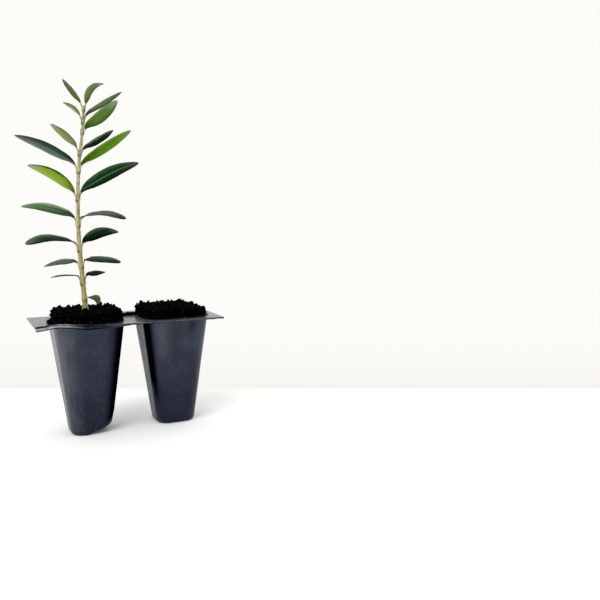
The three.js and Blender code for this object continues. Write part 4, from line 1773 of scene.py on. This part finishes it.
@dataclass
class Studio:
    """The pale floor, the soft light and the camera at the photograph's viewing angle."""

    camera_place: tuple[float, float, float] = (-93.3, -531.4, 170.6)
    turn_deg: float = 27.3
    down_deg: float = 7.8
    focal_px: float = 695.0
    frame_px: float = 600.0
    sensor: float = 36.0
    floor_radius: float = 6000.0
    floor_tone: Colour = (0.93, 0.93, 0.925, 1.0)
    table_edge: float = 98.0
    edge_run: float = 30.0
    far_run: float = 330.0
    # Painted shade on the backdrop just past the table's edge, which fades into the wall's tone.
    backdrop_shade: Colour = tone(244, 241, 236)
    wall: Colour = tone(253, 252, 248)
    sky: Colour = (1.22, 1.22, 1.22, 1.0)
    room: Colour = (0.36, 0.37, 0.38, 1.0)
    pale_ahead: tuple[float, float] = (-0.45, 0.25)
    pale_low: tuple[float, float] = (0.2, 0.36)
    sky_from: tuple[float, float] = (0.33, 0.8)
    sun_from: tuple[float, float, float] = (-0.52, -0.42, 0.74)
    sun_spread_deg: float = 34.0
    sun_strength: float = 1.2

    @property
    def ahead(self) -> tuple[float, float]:
        """The level direction from the viewer to the plant."""
        turn = math.radians(self.turn_deg)
        return math.sin(turn), math.cos(turn)

    def camera(self) -> None:
        """Puts the camera where the photograph was taken from."""
        data = bpy.data.cameras.new("camera")
        data.sensor_width = self.sensor
        data.lens = self.sensor * self.focal_px / self.frame_px
        data.clip_start, data.clip_end = 0.01, 50.0
        made = stand("camera", data)
        turn, down = math.radians(self.turn_deg), math.radians(self.down_deg)
        look = Vector((math.sin(turn) * math.cos(down), math.cos(turn) * math.cos(down), -math.sin(down)))
        made.location = Vector(self.camera_place) * MM
        aim(made, look)
        bpy.context.scene.camera = made

    def floor(self) -> None:
        """Lays the floor: a white table, and beyond its edge a ground that glows as the backdrop, with
        painted shade past the edge that fades into the wall.
        """
        bm = bmesh.new()
        bmesh.ops.create_circle(bm, cap_ends=True, segments=96, radius=self.floor_radius * MM)
        mesh = bpy.data.meshes.new("floor")
        bm.to_mesh(mesh)
        bm.free()
        shade = Shade("floor")
        x, y, _ = shade.parts(shade.place())
        east, north = self.ahead
        depth = (x * east + y * north) / MM
        beyond = depth.step(self.table_edge, self.table_edge + self.edge_run)
        risen = ((depth - self.table_edge) / self.far_run).math("MAXIMUM", 0.0) ** 0.5
        base = shade.mix(beyond, self.floor_tone, BLACK)
        glow = shade.mix(beyond, BLACK, shade.mix(risen, self.backdrop_shade, self.wall))
        mesh.materials.append(shade.close(shade.surface(base, 0.7, shade.bump(0.02, shade.noise(0.4, 0.4)), {
            "Specular IOR Level": 0.0, "Emission Color": glow, "Emission Strength": 1.0})))
        stand("floor", mesh)

    def light(self) -> None:
        """Sets the soft room light and a broad key light from the upper left."""
        shade = Shade("studio", "worlds")
        x, y, up = shade.parts(shade.place("Generated"))
        east, north = self.ahead
        pale = (x * east + y * north).step(*self.pale_ahead).math("MAXIMUM", 1 - abs(up).step(*self.pale_low))
        sky = shade.mix(up.step(*self.sky_from), shade.mix(pale, self.room, self.wall), self.sky)
        background = shade.node("ShaderNodeBackground", None, {0: sky})
        shade.node("ShaderNodeOutputWorld", None, {0: background.outputs[0]})
        bpy.context.scene.world = shade.owner
        data = bpy.data.lights.new("key", "SUN")
        data.angle = math.radians(self.sun_spread_deg)
        data.energy = self.sun_strength
        aim(stand("key", data), -Vector(self.sun_from))

    def build(self) -> None:
        """Builds the whole studio."""
        self.camera()
        self.floor()
        self.light()
        bpy.context.scene.view_settings.view_transform = "Standard"


def main() -> None:
    """Builds the studio and every sub-assembly, and notes the sizes."""
    logging.basicConfig(level=logging.INFO, format="%(message)s")
    Studio().build()
    tray = CellTray()
    tray.build()
    Compost(tray).build()
    stem = Stem()
    foliage = Foliage(stem)
    stem.build([(stem.nodes[leaf.pair - 1], foliage.heading(leaf)) for leaf in LEAVES])
    foliage.build()


if __name__ == "__main__":
    main()
